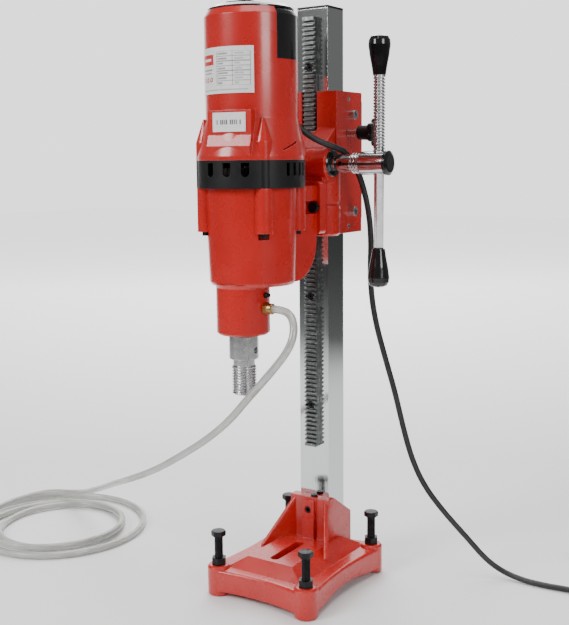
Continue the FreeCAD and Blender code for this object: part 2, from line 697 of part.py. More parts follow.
pin_x = as_size(64)
node("crank_hub", crank_hub())
node("crank_pin_screw", cut(rod(3, 7.5, (pin_x, crank_y - 12.6, D.crank_height), "Y"),
                            hexagon(3, 2, (pin_x, crank_y - 12.61, D.crank_height), "Y")))
cap_rim = D.hub_radius + 0.8
node("crank_end_cap", lathe([(0, D.hub_end), (cap_rim, D.hub_end), (cap_rim, D.hub_end + 3.5),
                             (D.hub_radius - 3, crank_end - 0.5), (D.hub_radius - 5, crank_end),
                             (0, crank_end)], crank_place, "X"))
smooth_radius = D.bar_radius - 1.5
grip_mouth = D.bar_reach - D.grip_length
bar_half = D.bar_reach - 12
thread_start = D.hub_radius - 1
node("crank_bar", lathe([(0, -bar_half), (smooth_radius - 1, -bar_half), (smooth_radius, 1 - bar_half),
                         (smooth_radius, -thread_start - 1), (D.bar_radius, -thread_start + 1),
                         (D.bar_radius, grip_mouth), (smooth_radius, grip_mouth),
                         (smooth_radius, bar_half), (0, bar_half)], (D.bar_x, crank_y, D.crank_height)))


def grip(side):
    """A hand grip that swells towards its rounded outer end."""
    end, bore = D.bar_reach, smooth_radius + 0.05
    swell = [(bore, grip_mouth + 0.1), (D.bar_radius + 0.4, grip_mouth + 0.1), (10.2, grip_mouth + 12),
             (12.6, grip_mouth + 24), (D.grip_radius, end - 13), (D.grip_radius - 0.6, end - 7),
             (11.5, end - 2.5), (7, end - 0.4), (0, end), (0, bar_half + 0.1), (bore, bar_half + 0.1)]
    return lathe([(r, side * z) for r, z in swell], (D.bar_x, crank_y, D.crank_height))


node("crank_grips", group(grip(1), grip(-1)))

# ---------------------------------------------------------------- gear housing

head_place = (0, head_y, 0)
lug_turns = [D.lug_angle, 180 - D.lug_angle, -180 + D.lug_angle, -D.lug_angle]


def lug_place(turn):
    angle = math.radians(float(turn))
    return D.lug_reach * math.sin(angle), head_y - D.lug_reach * math.cos(angle)


lug_places = [lug_place(turn) for turn in lug_turns]
cavity_low = D.nose_top + 6
seat_radius = D.lug_reach - 6.5
flange_back = -D.mount_face
flange_face = flange_back - D.flange_depth
fitting_height, nipple_height = as_size(413), as_size(430)
plate_low, plate_depth = D.gearbox_top - 18, as_size(8)


def housing_back():
    """The rear of the housing: as wide as the flange less a margin, with a rounded belly."""
    low, high, front = float(D.nose_top), float(D.gearbox_top), float(head_y)
    rear, face, foot = float(flange_back), float(flange_face), float(D.flange_bottom)
    corners = [Vector(0, face - 46, low), Vector(0, face, foot), Vector(0, rear, foot),
               Vector(0, rear, high), Vector(0, front, high), Vector(0, front, low)]
    bend = Vector(0, face - 13, low + 17)
    belly = Part.Arc(corners[0], bend, corners[1]).toShape()
    sides = [Part.LineSegment(a, b).toShape() for a, b in zip(corners[1:], corners[2:] + corners[:1])]
    half = float(D.flange_half) - 6
    back = Part.Face(Part.Wire([belly] + sides)).extrude(Vector(2 * half, 0, 0))
    back.translate(Vector(-half, 0, 0))
    return back


def flange_block():
    half, foot = float(D.flange_half), float(D.flange_bottom)
    block = Part.makeBox(2 * half, float(D.flange_depth), float(D.gearbox_top) + 6 - foot,
                         Vector(-half, float(flange_face), foot))
    return block.makeFillet(6, [e for e in block.Edges if abs(e.tangentAt(e.FirstParameter).y) > 0.9])


def gear_housing():
    """Nose, gear chamber, screw lugs and the flange that meets the carriage."""
    chamber = lathe([(0, D.nose_top), (D.gearbox_radius - 6, D.nose_top),
                     (D.gearbox_radius - 3.5, D.nose_top + 4), (D.gearbox_radius, D.gearbox_top),
                     (0, D.gearbox_top)], head_place)
    nose = lathe([(0, D.nose_bottom), (D.nose_radius - 2.5, D.nose_bottom),
                  (D.nose_radius, D.nose_bottom + 2.5), (D.nose_radius, D.nose_top - 2),
                  (D.nose_radius + 2, D.nose_top + 3), (0, D.nose_top + 3)], (0, D.spindle_y, 0))
    lugs = [rod(D.lug_radius, D.gearbox_top - D.lug_bottom, (x, y, D.lug_bottom)) for x, y in lug_places]
    whole = join(chamber, nose, free_form(housing_back()), free_form(flange_block()), *lugs)
    seat = rod(seat_radius, 20, (0, head_y, plate_low))
    cavity = rod(seat_radius - 3, D.gearbox_top - cavity_low + 1, (0, head_y, cavity_low))
    gear_room = rod(spindle_tip + 1.2, gear_deep + 10, (0, D.spindle_y, cavity_low))
    nose_bore = rod(D.bearing_outer + 0.02, cavity_low - D.nose_bottom + 2,
                    (0, D.spindle_y, D.nose_bottom - 1))
    fitting_hole = rod(5, D.nose_radius + 4, (0, D.spindle_y, fitting_height), "X")
    nipple_hole = rod(2.5, D.nose_radius + 4, (0, D.spindle_y, nipple_height), "X")
    lay_seat = rod(8.02, 7, (0, D.lay_y, cavity_low - 5))
    screws = [rod(3.05, 80, (x, y, D.lug_bottom - 1)) for x, y in lug_places]
    bolts = [rod(4.05, D.flange_depth + 10, (side * mount_bolt_x, flange_face - 8, mount_bolt_z), "Y")
             for side in (1, -1)]
    spots = [rod(8.5, 30, (side * mount_bolt_x, flange_face - 30, mount_bolt_z), "Y") for side in (1, -1)]
    spots += [rod(7, 8, (x, y, D.lug_bottom - 8)) for x, y in lug_places]
    return cut(whole, seat, cavity, gear_room, nose_bore, fitting_hole, nipple_hole, lay_seat,
               *screws, *bolts, *spots)


spindle_module, spindle_teeth, lay_pinion_teeth = 2, 24, 20
motor_module, lay_gear_teeth, motor_pinion_teeth = 1, 27, 9
gear_low, gear_deep = cavity_low + 6, as_size(18)
spindle_tip = as_size(spindle_module * (spindle_teeth / 2 + 0.95))
node("gear_housing", gear_housing())
node("flange_bolts", group(*[
    join(hexagon(13, 6, (side * mount_bolt_x, flange_face - 6, mount_bolt_z), "Y"),
         rod(4, D.flange_depth + 8, (side * mount_bolt_x, flange_face, mount_bolt_z), "Y"))
    for side in (1, -1)]))
screw_reach = D.band_top - D.lug_bottom + 15
node("housing_screws", group(*[
    join(hexagon(10, 5, (x, y, D.lug_bottom - 5)), rod(3, screw_reach, (x, y, D.lug_bottom)))
    for x, y in lug_places]))
node("gear_plate", cut(rod(seat_radius - 0.05, plate_depth, (0, head_y, plate_low)),
                       rod(11.02, plate_depth + 2, (0, D.motor_y, plate_low - 1)),
                       rod(6 + D.running_gap, 7, (0, D.lay_y, plate_low - 1))))
barb = D.nose_radius + 6
barb_end = barb + 6
node("hose_fitting", cut(
    join(lathe([(0, D.nose_radius - 6), (4.9, D.nose_radius - 6), (4.9, D.nose_radius),
                (0, D.nose_radius)], (0, D.spindle_y, fitting_height), "X"),
         hexagon(14, 6, (D.nose_radius, D.spindle_y, fitting_height), "X"),
         lathe([(0, barb), (6.9, barb), (6.9, barb_end - 1), (6.2, barb_end), (0, barb_end)],
               (0, D.spindle_y, fitting_height), "X")),
    rod(2.5, 20, (D.nose_radius - 7, D.spindle_y, fitting_height), "X")))
node("grease_nipple", lathe([(0, D.bearing_outer + 2), (2.4, D.bearing_outer + 2), (2.4, D.nose_radius),
                             (3.5, D.nose_radius), (3.5, D.nose_radius + 3), (2, D.nose_radius + 4),
                             (2.6, D.nose_radius + 6.5), (0, D.nose_radius + 7)],
                            (0, D.spindle_y, nipple_height), "X"))
seal_lows = (D.nose_bottom + 18, D.nose_bottom + 42)
node("water_seals", group(*[ring(D.bearing_outer, D.spindle_radius + 0.3, low, low + 7, 0, D.spindle_y)
                            for low in seal_lows]))
bearing_lows = (D.nose_bottom + 3, cavity_low - 15)
spindle_bearings = [
    ring(D.bearing_outer, D.spindle_radius + D.running_gap, low, low + 14, 0, D.spindle_y)
    for low in bearing_lows]

# ---------------------------------------------------------------- spindle and gears

spindle_top = gear_low + gear_deep + 3
node("drill_spindle", cut(
    lathe([(0, D.spindle_end), (D.thread_radius - 2, D.spindle_end), (D.thread_radius, D.spindle_end + 2),
           (D.thread_radius, D.collar_bottom - 9), (D.spindle_radius - 1, D.collar_bottom - 7.5),
           (D.spindle_radius - 1, D.collar_bottom), (D.collar_radius, D.collar_bottom),
           (D.collar_radius, D.collar_top), (D.spindle_radius, D.collar_top + 0.5),
           (D.spindle_radius, spindle_top), (0, spindle_top)], (0, D.spindle_y, 0)),
    rod(5, fitting_height - D.spindle_end + 6, (0, D.spindle_y, D.spindle_end - 1)),
    rod(3, 2 * D.spindle_radius + 4, (-D.spindle_radius - 2, D.spindle_y, fitting_height), "X"),
    rod(4, 8, (D.collar_radius - 6, D.spindle_y, D.collar_bottom + 12), "X")))
node("spindle_gear", free_form(
    gear(spindle_module, spindle_teeth, D.spindle_radius + 0.01, gear_deep, turn=math.pi / 2),
    0, D.spindle_y, gear_low))
stage_low = plate_low - 14
lay_low = cavity_low - 4.5
lay_shaft = rod(6, plate_low + 5 - lay_low, (0, D.lay_y, lay_low))
half_tooth = math.pi / lay_pinion_teeth
lay_pinion = free_form(
    gear(spindle_module, lay_pinion_teeth, 5, gear_deep, turn=half_tooth - math.pi / 2),
    0, D.lay_y, gear_low)
half_tooth = math.pi / lay_gear_teeth
lay_gear = free_form(gear(motor_module, lay_gear_teeth, 5, 10, turn=half_tooth - math.pi / 2),
                     0, D.lay_y, stage_low)
node("lay_shaft", join(lay_shaft, lay_pinion, lay_gear))
lay_bearing = ring(8, 6 + D.running_gap, cavity_low - 4.8, cavity_low - 0.5, 0, D.lay_y)
node("gear_bearings", group(lay_bearing, *spindle_bearings))

# ---------------------------------------------------------------- motor

inner_barrel = D.barrel_radius - D.shell_wall
shell_low = D.gearbox_top
shell_top = D.barrel_top
bridge_low = shell_top - 32
shaft_radius, pin_radius = as_size(5), as_size(2)
stack_low, stack_high = D.flare_top + 4, D.flare_top + 62
motor_pinion = free_form(gear(motor_module, motor_pinion_teeth, pin_radius - 0.5, 12.5, turn=math.pi / 2),
                         0, D.motor_y, stage_low - 1.5)
node("armature_shaft", join(
    lathe([(0, stage_low - 2), (pin_radius, stage_low - 2), (pin_radius, plate_low - 0.5),
           (shaft_radius, plate_low - 0.5), (shaft_radius, shell_top - 15), (0, shell_top - 15)],
          (0, D.motor_y, 0)),
    motor_pinion))
core = D.barrel_radius - 27
node("armature_core", cut(
    lathe([(0, stack_low - 12), (core - 8, stack_low - 12), (core - 4, stack_low), (core, stack_low),
           (core, stack_high), (core - 4, stack_high), (core - 8, stack_high + 8),
           (0, stack_high + 8)], (0, D.motor_y, 0)),
    rod(shaft_radius + 0.01, 100, (0, D.motor_y, stack_low - 20))))
commutator_low = stack_high + 12
node("commutator", ring(17, shaft_radius + 0.01, commutator_low, commutator_low + 18, 0, D.motor_y))


def cooling_fan():
    """A hub and a disc with straight blades on top."""
    tip, thick, deep = 42, 2.5, 14
    disc = Part.makeCylinder(tip, thick)
    hub = Part.makeCylinder(float(shaft_radius) + 6, thick + deep)
    bore = Part.makeCylinder(float(shaft_radius) + 0.01, thick + deep + 2, Vector(0, 0, -1))
    fan = disc.fuse(hub)
    for number in range(12):
        blade = Part.makeBox(tip - 12, thick, deep - 1, Vector(float(shaft_radius) + 3, -thick / 2, thick - 1))
        blade.rotate(Vector(), Vector(0, 0, 1), 360 * number / 12 + 7)
        fan = fan.fuse(blade)
    return fan.removeSplitter().cut(bore)


node("cooling_fan", free_form(cooling_fan(), 0, D.motor_y, D.gearbox_top + 10))
stator_radius = inner_barrel - 0.1
node("stator_stack", ring(stator_radius, core + 0.8, stack_low, stack_high, 0, D.motor_y))
node("field_windings", group(ring(stator_radius - 5, core + 5, stack_low - 14, stack_low, 0, D.motor_y),
                             ring(stator_radius - 5, core + 5, stack_high, stack_high + 11, 0, D.motor_y)))
node("armature_bearings", group(
    ring(11, shaft_radius + D.running_gap, plate_low, plate_low + plate_depth, 0, D.motor_y),
    ring(13, shaft_radius + D.running_gap, bridge_low + 5, bridge_low + 14, 0, D.motor_y)))
node("bearing_bridge", cut(
    join(rod(inner_barrel - 0.05, 6, (0, D.motor_y, bridge_low)), rod(17, 14.5, (0, D.motor_y, bridge_low))),
    rod(13.02, 12, (0, D.motor_y, bridge_low + 4.9)), rod(shaft_radius + 2, 12, (0, D.motor_y, bridge_low - 1))))
brush_mid = commutator_low + 9
holders, brushes = [], []
for side in (1, -1):
    near, far = (17.3, 34) if side > 0 else (-34, -17.3)
    brushes.append(box((near, D.motor_y - 4, brush_mid - 5), (far, D.motor_y + 4, brush_mid + 5)))
    near, far = (23, inner_barrel - 0.6) if side > 0 else (0.6 - inner_barrel, -23)
    room = box((-36, D.motor_y - 4.05, brush_mid - 5.05), (36, D.motor_y + 4.05, brush_mid + 5.05))
    holders.append(cut(box((near, D.motor_y - 7, brush_mid - 8), (far, D.motor_y + 7, brush_mid + 8)), room))
node("brush_gear", group(*holders, *brushes))


def disc_wire(radius, y, z):
    return Part.Wire(Part.Circle(Vector(0, float(y), float(z)), Vector(0, 0, 1), float(radius)).toShape())


def flare(outer, barrel, low, high):
    """The skirt that narrows and shifts from the vent band to the barrel."""
    return free_form(Part.makeLoft([disc_wire(outer, head_y, low), disc_wire(barrel, D.motor_y, high)],
                                   True, True))


cover_low, cover_turn = as_size(718), 67


def cover_sector(radius, low, high):
    """A wedge behind the barrel, open from one cover edge round the back to the other."""
    reach = 2 * float(radius)
    sector = Part.makeCylinder(reach, float(high) - float(low), Vector(), Vector(0, 0, 1),
                               360 - 2 * cover_turn)
    sector.rotate(Vector(), Vector(0, 0, 1), cover_turn - 90)
    return free_form(sector, 0, D.motor_y, low)


pad_turn, pad_half = 10, as_size(29)
pad_front = head_y - D.band_radius + 5


def about_head(x, y):
    """Where a place lands when the pad is turned about the drill's head axis."""
    sine, cosine = math.sin(math.radians(pad_turn)), math.cos(math.radians(pad_turn))
    return x * cosine - (y - head_y) * sine, head_y + x * sine + (y - head_y) * cosine


def louvre(height):
    """A slanting air slit in the flare, on the crank's side."""
    turn, reach = 80, float(D.barrel_radius)
    slit = Part.makeBox(28, 18, 2.4, Vector(-14, -9, -1.2))
    slit.rotate(Vector(), Vector(0, 1, 0), -20)
    slit.rotate(Vector(), Vector(0, 0, 1), turn)
    angle = math.radians(turn)
    return free_form(slit, reach * math.sin(angle), D.motor_y - reach * math.cos(angle), height)


def motor_housing():
    """Red shell: a short skirt, the flare, the barrel and the chamfered top edge."""
    low = D.band_top
    skirt = rod(D.band_radius, 5, (0, head_y, low))
    barrel = lathe([(0, D.flare_top), (D.barrel_radius, D.flare_top), (D.barrel_radius, shell_top - 8),
                    (D.barrel_radius - 5, shell_top), (0, shell_top)], (0, D.motor_y, 0))
    label_pad = prism([(pad_front, low + 6), (pad_front + 22, low + 6), (pad_front + 22, D.flare_top + 9),
                       (pad_front + 3, D.flare_top + 9), (pad_front + 3, D.flare_top - 21),
                       (pad_front - 2, D.flare_top - 34)], 2 * pad_half, (*about_head(-pad_half, 0), 0),
                      "YZ_Plane", Rotation(Vector(0, 0, 1), pad_turn))
    solids = [skirt, flare(D.band_radius, D.barrel_radius, low + 5, D.flare_top), barrel, label_pad]
    inside = [rod(D.band_radius - D.shell_wall, 6, (0, head_y, low - 0.5)),
              flare(D.band_radius - D.shell_wall, inner_barrel, low + 5, D.flare_top),
              rod(inner_barrel, shell_top - D.flare_top - 10, (0, D.motor_y, D.flare_top - 0.01)),
              taper(inner_barrel, inner_barrel - 6, 10.2, (0, D.motor_y, shell_top - 10.1))]
    shell = cut(join(*solids), *inside)
    lugs = []
    for x, y in lug_places:
        lugs.append(rod(D.lug_radius, 22, (x, y, low)))
        lugs.append(taper(D.lug_radius, 1.5, D.flare_top - low - 22, (x, y, low + 22)))
    holes = [rod(3.05, 22, (x, y, low - 1)) for x, y in lug_places]
    clear = rod(stator_radius - 3, 40, (0, D.motor_y, low + 24))
    louvres = [louvre(D.flare_top - 4 - 10 * number) for number in range(4)]
    opening = cover_sector(D.barrel_radius, cover_low, shell_top + 5)
    return cut(join(shell, *lugs), *holes, clear, opening, *louvres)


node("motor_housing", motor_housing())
band_inner = D.band_radius - D.shell_wall


def vent_band():
    """Black ring with U-shaped air slots between the screw lugs."""
    low, high = shell_low, D.band_top
    tall = high - low
    hoop = cut(rod(D.band_radius, tall, (0, head_y, low)),
               rod(band_inner, tall + 2, (0, head_y, low - 1)))
    lugs = [rod(D.lug_radius, tall, (x, y, low)) for x, y in lug_places]
    turns = [-12, 9, 29, 159, 180, 201] + [side * a for side in (1, -1) for a in (77, 87, 97, 107)]
    slots = []
    for turn in turns:
        half = 5 if abs(turn) < 40 or abs(turn) > 150 else 2.6
        slot = Part.makeBox(2 * half, 12, 17 - half, Vector(-half, -float(D.band_radius) - 6, half))
        slot = slot.fuse(Part.makeCylinder(half, 12, Vector(0, -float(D.band_radius) - 6, half),
                                           Vector(0, 1, 0)))
        slot.rotate(Vector(), Vector(0, 0, 1), turn)
        slots.append(free_form(slot, 0, head_y, high - 20))
    holes = [rod(3.05, tall + 2, (x, y, low - 1)) for x, y in lug_places]
    return cut(join(hoop, *lugs), *slots, *holes)


node("vent_band", vent_band())
cap_edge = D.barrel_radius - 5
cap_low = shell_top
node("top_cap", join(
    lathe([(0, cap_low), (cap_edge, cap_low), (cap_edge, cap_low + 2), (cap_edge - 6, cap_low + 5.5),
           (cap_edge - 22, cap_low + 7.5), (0, cap_low + 8)], (0, D.motor_y, 0)),
    box((-16, D.motor_y - 30, cap_low + 3), (16, D.motor_y + 30, cap_low + 10))))
box_half, box_rear = as_size(18), D.motor_y + D.barrel_radius + 14


def rear_cover():
    """Black cover round the back of the barrel, with the box for switch and cord."""
    hoop = ring(D.barrel_radius, inner_barrel, cover_low + 0.3, shell_top - 8, 0, D.motor_y)
    top = taper(D.barrel_radius, D.barrel_radius - 5, 8, (0, D.motor_y, shell_top - 8))
    top = cut(top, taper(inner_barrel, inner_barrel - 6, 10.2, (0, D.motor_y, shell_top - 10.1)))
    wrap = doc.addObject("Part::Common", "Wrap")
    wrap.Base = join(hoop, top)
    wrap.Tool = cover_sector(D.barrel_radius, cover_low, shell_top)
    case = box((-box_half, D.motor_y + inner_barrel - 3, cover_low + 0.3), (box_half, box_rear, shell_top - 12))
    keep_out = rod(inner_barrel, 90, (0, D.motor_y, cover_low - 5))
    room = 0.2
    recess = box((-box_half - 1, switch_y - rocker_half - room, switch_z - 10.2),
                 (pivot_x + 4.5, switch_y + rocker_half + room, switch_z + 10.2))
    pivot_hole = rod(pin_half_width + D.running_gap, 2 * (rocker_half + 1.2),
                     (pivot_x, switch_y - rocker_half - 1.2, switch_z), "Y")
    gland_hole = rod(5.02, 9, (gland_x, gland_y, cover_low))
    return cut(join(wrap, case), keep_out, recess, pivot_hole, gland_hole)


switch_y, switch_z = box_rear - 8, cover_low + 27
pivot_x, rocker_half, pin_half_width = 3.4 - box_half, as_size(6), as_size(1.6)
gland_x, gland_y = as_size(8), box_rear - 7
node("rear_cover", rear_cover())
# The rocker lies at one end of its travel, eight degrees to one side.
rest_turn = math.radians(8)
rocker_outline = [
    (x * math.cos(rest_turn) - z * math.sin(rest_turn), x * math.sin(rest_turn) + z * math.cos(rest_turn))
    for x, z in [(-9, -2), (9, -2), (9, 4.4), (0, 3.2), (-9, 4.4)]]
node("switch_rocker", join(
    prism(rocker_outline, 2 * rocker_half, (pivot_x, switch_y + rocker_half, switch_z), "XY_Plane",
          Rotation(Vector(0, 0, 1), Vector(-1, 0, 0), Vector(0, -1, 0))),
    rod(pin_half_width, 2 * (rocker_half + 1), (pivot_x, switch_y - rocker_half - 1, switch_z), "Y")))
relief_low = as_size(690)
node("cord_relief", join(taper(4.6, 6.4, cover_low - relief_low, (gland_x, gland_y, relief_low)),
                         rod(5, 7, (gland_x, gland_y, cover_low))))
plate_turn = 43


def curved_label(radius, y, low, high, turn, centre, skin):
    """A thin plate that follows the barrel."""
    outer, inner = Part.makeCylinder(radius + skin, high - low, Vector(), Vector(0, 0, 1), 2 * turn), radius
    outer = outer.cut(Part.makeCylinder(inner, high - low))
    outer.rotate(Vector(), Vector(0, 0, 1), -90 - turn + centre)
    return free_form(outer, 0, y, low)


rating_plate = curved_label(float(D.barrel_radius) + 0.06, D.motor_y, 677, 732, plate_turn, -5, 0.6)
label_half, label_skin = as_size(22), as_size(0.65)
front_label = doc.addObject("Part::Box", "Label")
bind(front_label, Length=2 * label_half, Width=label_skin, Height=23)
locate(front_label, *about_head(-label_half, pad_front + 2.95 - label_skin), D.flare_top - 17,
       Rotation(Vector(0, 0, 1), pad_turn))
node("motor_labels", group(rating_plate, front_label))
scale_x = D.rack_width / 2
node("travel_label", box((scale_x + 0.02, rack_face + 5, 664), (scale_x + 0.6, column_front - 0.5, 712)))

# ---------------------------------------------------------------- hose and power cord

hose_route = [
    (46, -192, 413), (62, -192, 413), (76, -196.5, 407), (84.5, -203.5, 395), (86, -210, 380),
    (80, -214, 365), (68, -216, 349), (46, -216, 325), (20, -214, 299), (-15, -209, 263), (-58, -206, 230),
    (-108, -200, 199), (-150, -190, 175), (-198, -173, 152), (-248, -150, 130), (-300, -122, 108),
    (-352, -90, 84), (-402, -62, 62), (-448, -38, 43), (-490, -18, 29), (-520, -11, 21.5),
    (-548, -15, 19), (-566, -30, 17.4), (-574, -49, 17.4), (-576.5, -68, 17.4),
]
cord_route = [
    (8, -100.5, 690), (8, -100.5, 662), (20, -86, 637), (38, -72, 622), (53, -54, 614), (60, -33, 607),
    (66, -18, 588), (72, -8, 562), (78, -2, 525), (80, 1, 486), (78, 2, 446), (79, 4, 408),
    (85, 8, 366), (97, 15, 316), (108, 23, 268), (116, 31, 220), (126, 40, 172), (141, 50, 132),
    (166, 63, 94), (196, 76, 58), (222, 88, 25), (246, 95, 9), (276, 93, 4.2), (308, 92, 4.2),
    (345, 97.2, 4.2), (380, 97.2, 4.2),
]
node("water_hose", free_form(tube_on_route(hose_route, float(D.hose_radius))))
node("power_cord", free_form(tube_on_route(cord_route, float(D.cord_radius))))


def coil(centre, inner, outer, height, low=0.1):
    flat = Part.makeCylinder(outer, height).cut(Part.makeCylinder(inner, height))
    flat.translate(Vector(centre[0], centre[1], low))
    return flat


def tail(end, start, radius):
    """A straight length of cord between two points, part of a coil's solid."""
    first, last = Vector(*start), Vector(*end)
    return Part.makeCylinder(radius, (last - first).Length, first, last - first)


hose_coil_centre, cord_coil_centre = (-447, -104), (425, 150)
hose_tail = (-592.6, -157, 9.2), (-568.7, -222.8, 9.2)
node("hose_coil", free_form(coil(hose_coil_centre, 84, 160, 12).fuse([
    tail((-577.75, -77.5, 17.4), hose_route[-1], float(D.hose_radius)),
    tail((-581.5, -106, 9), (-577.75, -77.5, 17.4), float(D.hose_radius)),
    tail(hose_tail[1], hose_tail[0], float(D.hose_radius))])))
coupling_way = Vector(hose_tail[1][0] - hose_tail[0][0], hose_tail[1][1] - hose_tail[0][1], 0).normalize()


def coupling_ring(radius, length, along):
    """A round part of the coupling, a distance along its axis."""
    item = doc.addObject("Part::Cylinder", "Rod")
    bind(item, Radius=radius, Height=length)
    start = Vector(*hose_tail[1]) + coupling_way * along
    return locate(item, start.x, start.y, start.z, Rotation(Vector(0, 0, 1), coupling_way))


node("hose_coupling", cut(
    join(coupling_ring(7, 14, 0), coupling_ring(9, 16, 14), coupling_ring(6, 12, 30)),
    coupling_ring(4, 20, 24)))
node("cord_coil", free_form(coil(cord_coil_centre, 33, 57, 24).fuse([
    tail((425, 97.2, 4.2), cord_route[-1], float(D.cord_radius)),
    tail((378, 203, 18), (425, 203, 18), float(D.cord_radius))])))
plug_x, plug_y, plug_z = 378, 203, 18
plug_pins = [rod(2.4, 20, (plug_x - 55, plug_y + side * 9.5, plug_z), "X") for side in (1, -1)]
node("power_plug", join(taper(12, 6, 16, (plug_x - 16, plug_y, plug_z), "X"),
                        rod(17.5, 20, (plug_x - 36, plug_y, plug_z), "X"), *plug_pins))

# ---------------------------------------------------------------- checks and files

doc.recompute()
faults = []
for item in doc.Objects:
    if "Invalid" in item.State or "Error" in item.State:
        faults.append(f"{item.Label}: {item.State}")
for item in NODES:
    if item.Shape.isNull() or not item.Shape.isValid() or not item.Shape.Solids:
        faults.append(f"{item.Label}: bad shape")
if faults:
    raise RuntimeError("; ".join(faults))
os.makedirs("parts", exist_ok=True)
for item in NODES:
    item.Shape.exportStep(f"parts/{item.Label}.step")
print(len(NODES), "nodes")
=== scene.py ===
"""Finish, threads, lines and stage for a core drill rig, laid out as an add-on."""
import json
import math

import bmesh
import bpy
import numpy as np
from bpy.props import FloatProperty, FloatVectorProperty, IntProperty, PointerProperty
from mathutils import Matrix, Vector


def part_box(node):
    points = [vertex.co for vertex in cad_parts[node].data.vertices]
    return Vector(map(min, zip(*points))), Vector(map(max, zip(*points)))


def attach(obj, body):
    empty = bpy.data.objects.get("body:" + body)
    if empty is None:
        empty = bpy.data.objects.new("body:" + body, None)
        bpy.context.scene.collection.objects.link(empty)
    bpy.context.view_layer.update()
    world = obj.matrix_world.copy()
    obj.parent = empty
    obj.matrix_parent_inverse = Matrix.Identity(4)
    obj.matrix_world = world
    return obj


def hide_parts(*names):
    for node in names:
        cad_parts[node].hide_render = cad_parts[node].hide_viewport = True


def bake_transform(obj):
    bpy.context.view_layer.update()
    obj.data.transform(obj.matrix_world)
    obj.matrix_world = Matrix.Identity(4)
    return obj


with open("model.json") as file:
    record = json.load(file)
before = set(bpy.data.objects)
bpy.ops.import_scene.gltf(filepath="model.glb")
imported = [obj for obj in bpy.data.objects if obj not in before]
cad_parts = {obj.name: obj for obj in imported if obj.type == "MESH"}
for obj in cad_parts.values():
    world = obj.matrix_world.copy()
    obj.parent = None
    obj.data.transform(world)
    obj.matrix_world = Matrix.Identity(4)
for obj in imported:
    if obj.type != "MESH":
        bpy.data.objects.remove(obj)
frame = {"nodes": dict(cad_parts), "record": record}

bl_info = {
    "name": "Core drill rig finish",
    "version": (1, 0, 0),
    "blender": (4, 5, 0),
    "location": "View3D > Sidebar > Core drill",
    "description": "Paint, threads, water hose, power cord and studio for a core drill rig",
    "category": "Object",
}

NODES = frame["nodes"]
SLOT_OF = {part["node"]: part["material_slot"] for part in frame["record"]["subparts"]}
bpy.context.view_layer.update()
COLUMN_LOW, COLUMN_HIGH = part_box("column_tube")
COLUMN_X = (COLUMN_LOW.x + COLUMN_HIGH.x) / 2
COLUMN_Y = (COLUMN_LOW.y + COLUMN_HIGH.y) / 2
MM = 0.001

THREAD_STEPS = 14      # rings of points in each turn of a thread
THREAD_FADE = 0.7      # turns over which a thread runs out at each end
CORD_DIAMETER = 8 * MM
HOSE_DIAMETER = 10 * MM
LABEL_THICKNESS = 0.5 * MM
AHEAD = (-0.551, 0.835, 0.0)     # the way the main camera looks, along the floor
ASIDE = (0.835, 0.551, 0.0)


def mm(value):
    """A length given in millimetres."""
    return value * MM


def place(x, y, z):
    """A point measured in millimetres from the column's axis at floor level."""
    return COLUMN_X + x * MM, COLUMN_Y + y * MM, z * MM


# ---------------------------------------------------------------- settings

class RigFinish(bpy.types.PropertyGroup):
    """Colours and sizes that a user may change."""

    enamel: FloatVectorProperty(
        name="Enamel", description="Colour of the painted castings", subtype="COLOR",
        size=3, min=0, max=1, default=(0.50, 0.014, 0.010))
    enamel_gloss: FloatProperty(
        name="Enamel roughness", description="Roughness of the paint", default=0.27,
        min=0, max=1, subtype="FACTOR")
    cord_colour: FloatVectorProperty(
        name="Cord", description="Colour of the power cord's rubber", subtype="COLOR",
        size=3, min=0, max=1, default=(0.012, 0.012, 0.013))
    hose_colour: FloatVectorProperty(
        name="Hose", description="Tint of the clear water hose", subtype="COLOR",
        size=3, min=0, max=1, default=(0.56, 0.56, 0.53))
    nose_pitch: FloatProperty(
        name="Nose thread pitch", description="Pitch of the spindle's thread", default=3.63 * MM,
        min=0.001, unit="LENGTH")
    bar_pitch: FloatProperty(
        name="Bar thread pitch", description="Pitch of the crank bar's thread", default=4.0 * MM,
        min=0.001, unit="LENGTH")
    screw_pitch: FloatProperty(
        name="Levelling screw pitch", description="Pitch of the levelling screws' thread",
        default=1.75 * MM, min=0.0005, unit="LENGTH")
    round_sides: IntProperty(
        name="Sides", description="Steps round each turned piece", default=96, min=24, max=256)


def settings():
    """The colours and sizes of this scene."""
    return bpy.context.scene.rig_finish


# ---------------------------------------------------------------- surfaces

def put_mesh(name, points, quads, smooth=True, uv=None):
    """A mesh object from whole arrays of points and four-cornered faces."""
    mesh = bpy.data.meshes.new(name)
    mesh.vertices.add(len(points))
    mesh.vertices.foreach_set("co", np.asarray(points, np.float32).ravel())
    mesh.loops.add(quads.size)
    mesh.loops.foreach_set("vertex_index", quads.ravel().astype(np.int32))
    mesh.polygons.add(len(quads))
    mesh.polygons.foreach_set("loop_start", np.arange(0, quads.size, 4, dtype=np.int32))
    mesh.polygons.foreach_set("use_smooth", np.full(len(quads), smooth))
    if uv is not None:
        layer = mesh.uv_layers.new(name="UVMap")
        layer.data.foreach_set("uv", uv[quads.ravel()].astype(np.float32).ravel())
    mesh.update()
    mesh.validate()
    item = bpy.data.objects.new(name, mesh)
    bpy.context.scene.collection.objects.link(item)
    return item


def grid_quads(rows, columns, wrap):
    """Faces of a grid of rows by columns, closed round the columns when wrap is set."""
    across = columns if wrap else columns - 1
    row, column = np.meshgrid(np.arange(rows - 1), np.arange(across), indexing="ij")
    following = (column + 1) % columns
    corners = [row * columns + column, row * columns + following,
               (row + 1) * columns + following, (row + 1) * columns + column]
    return np.stack([c.ravel() for c in corners], axis=1)


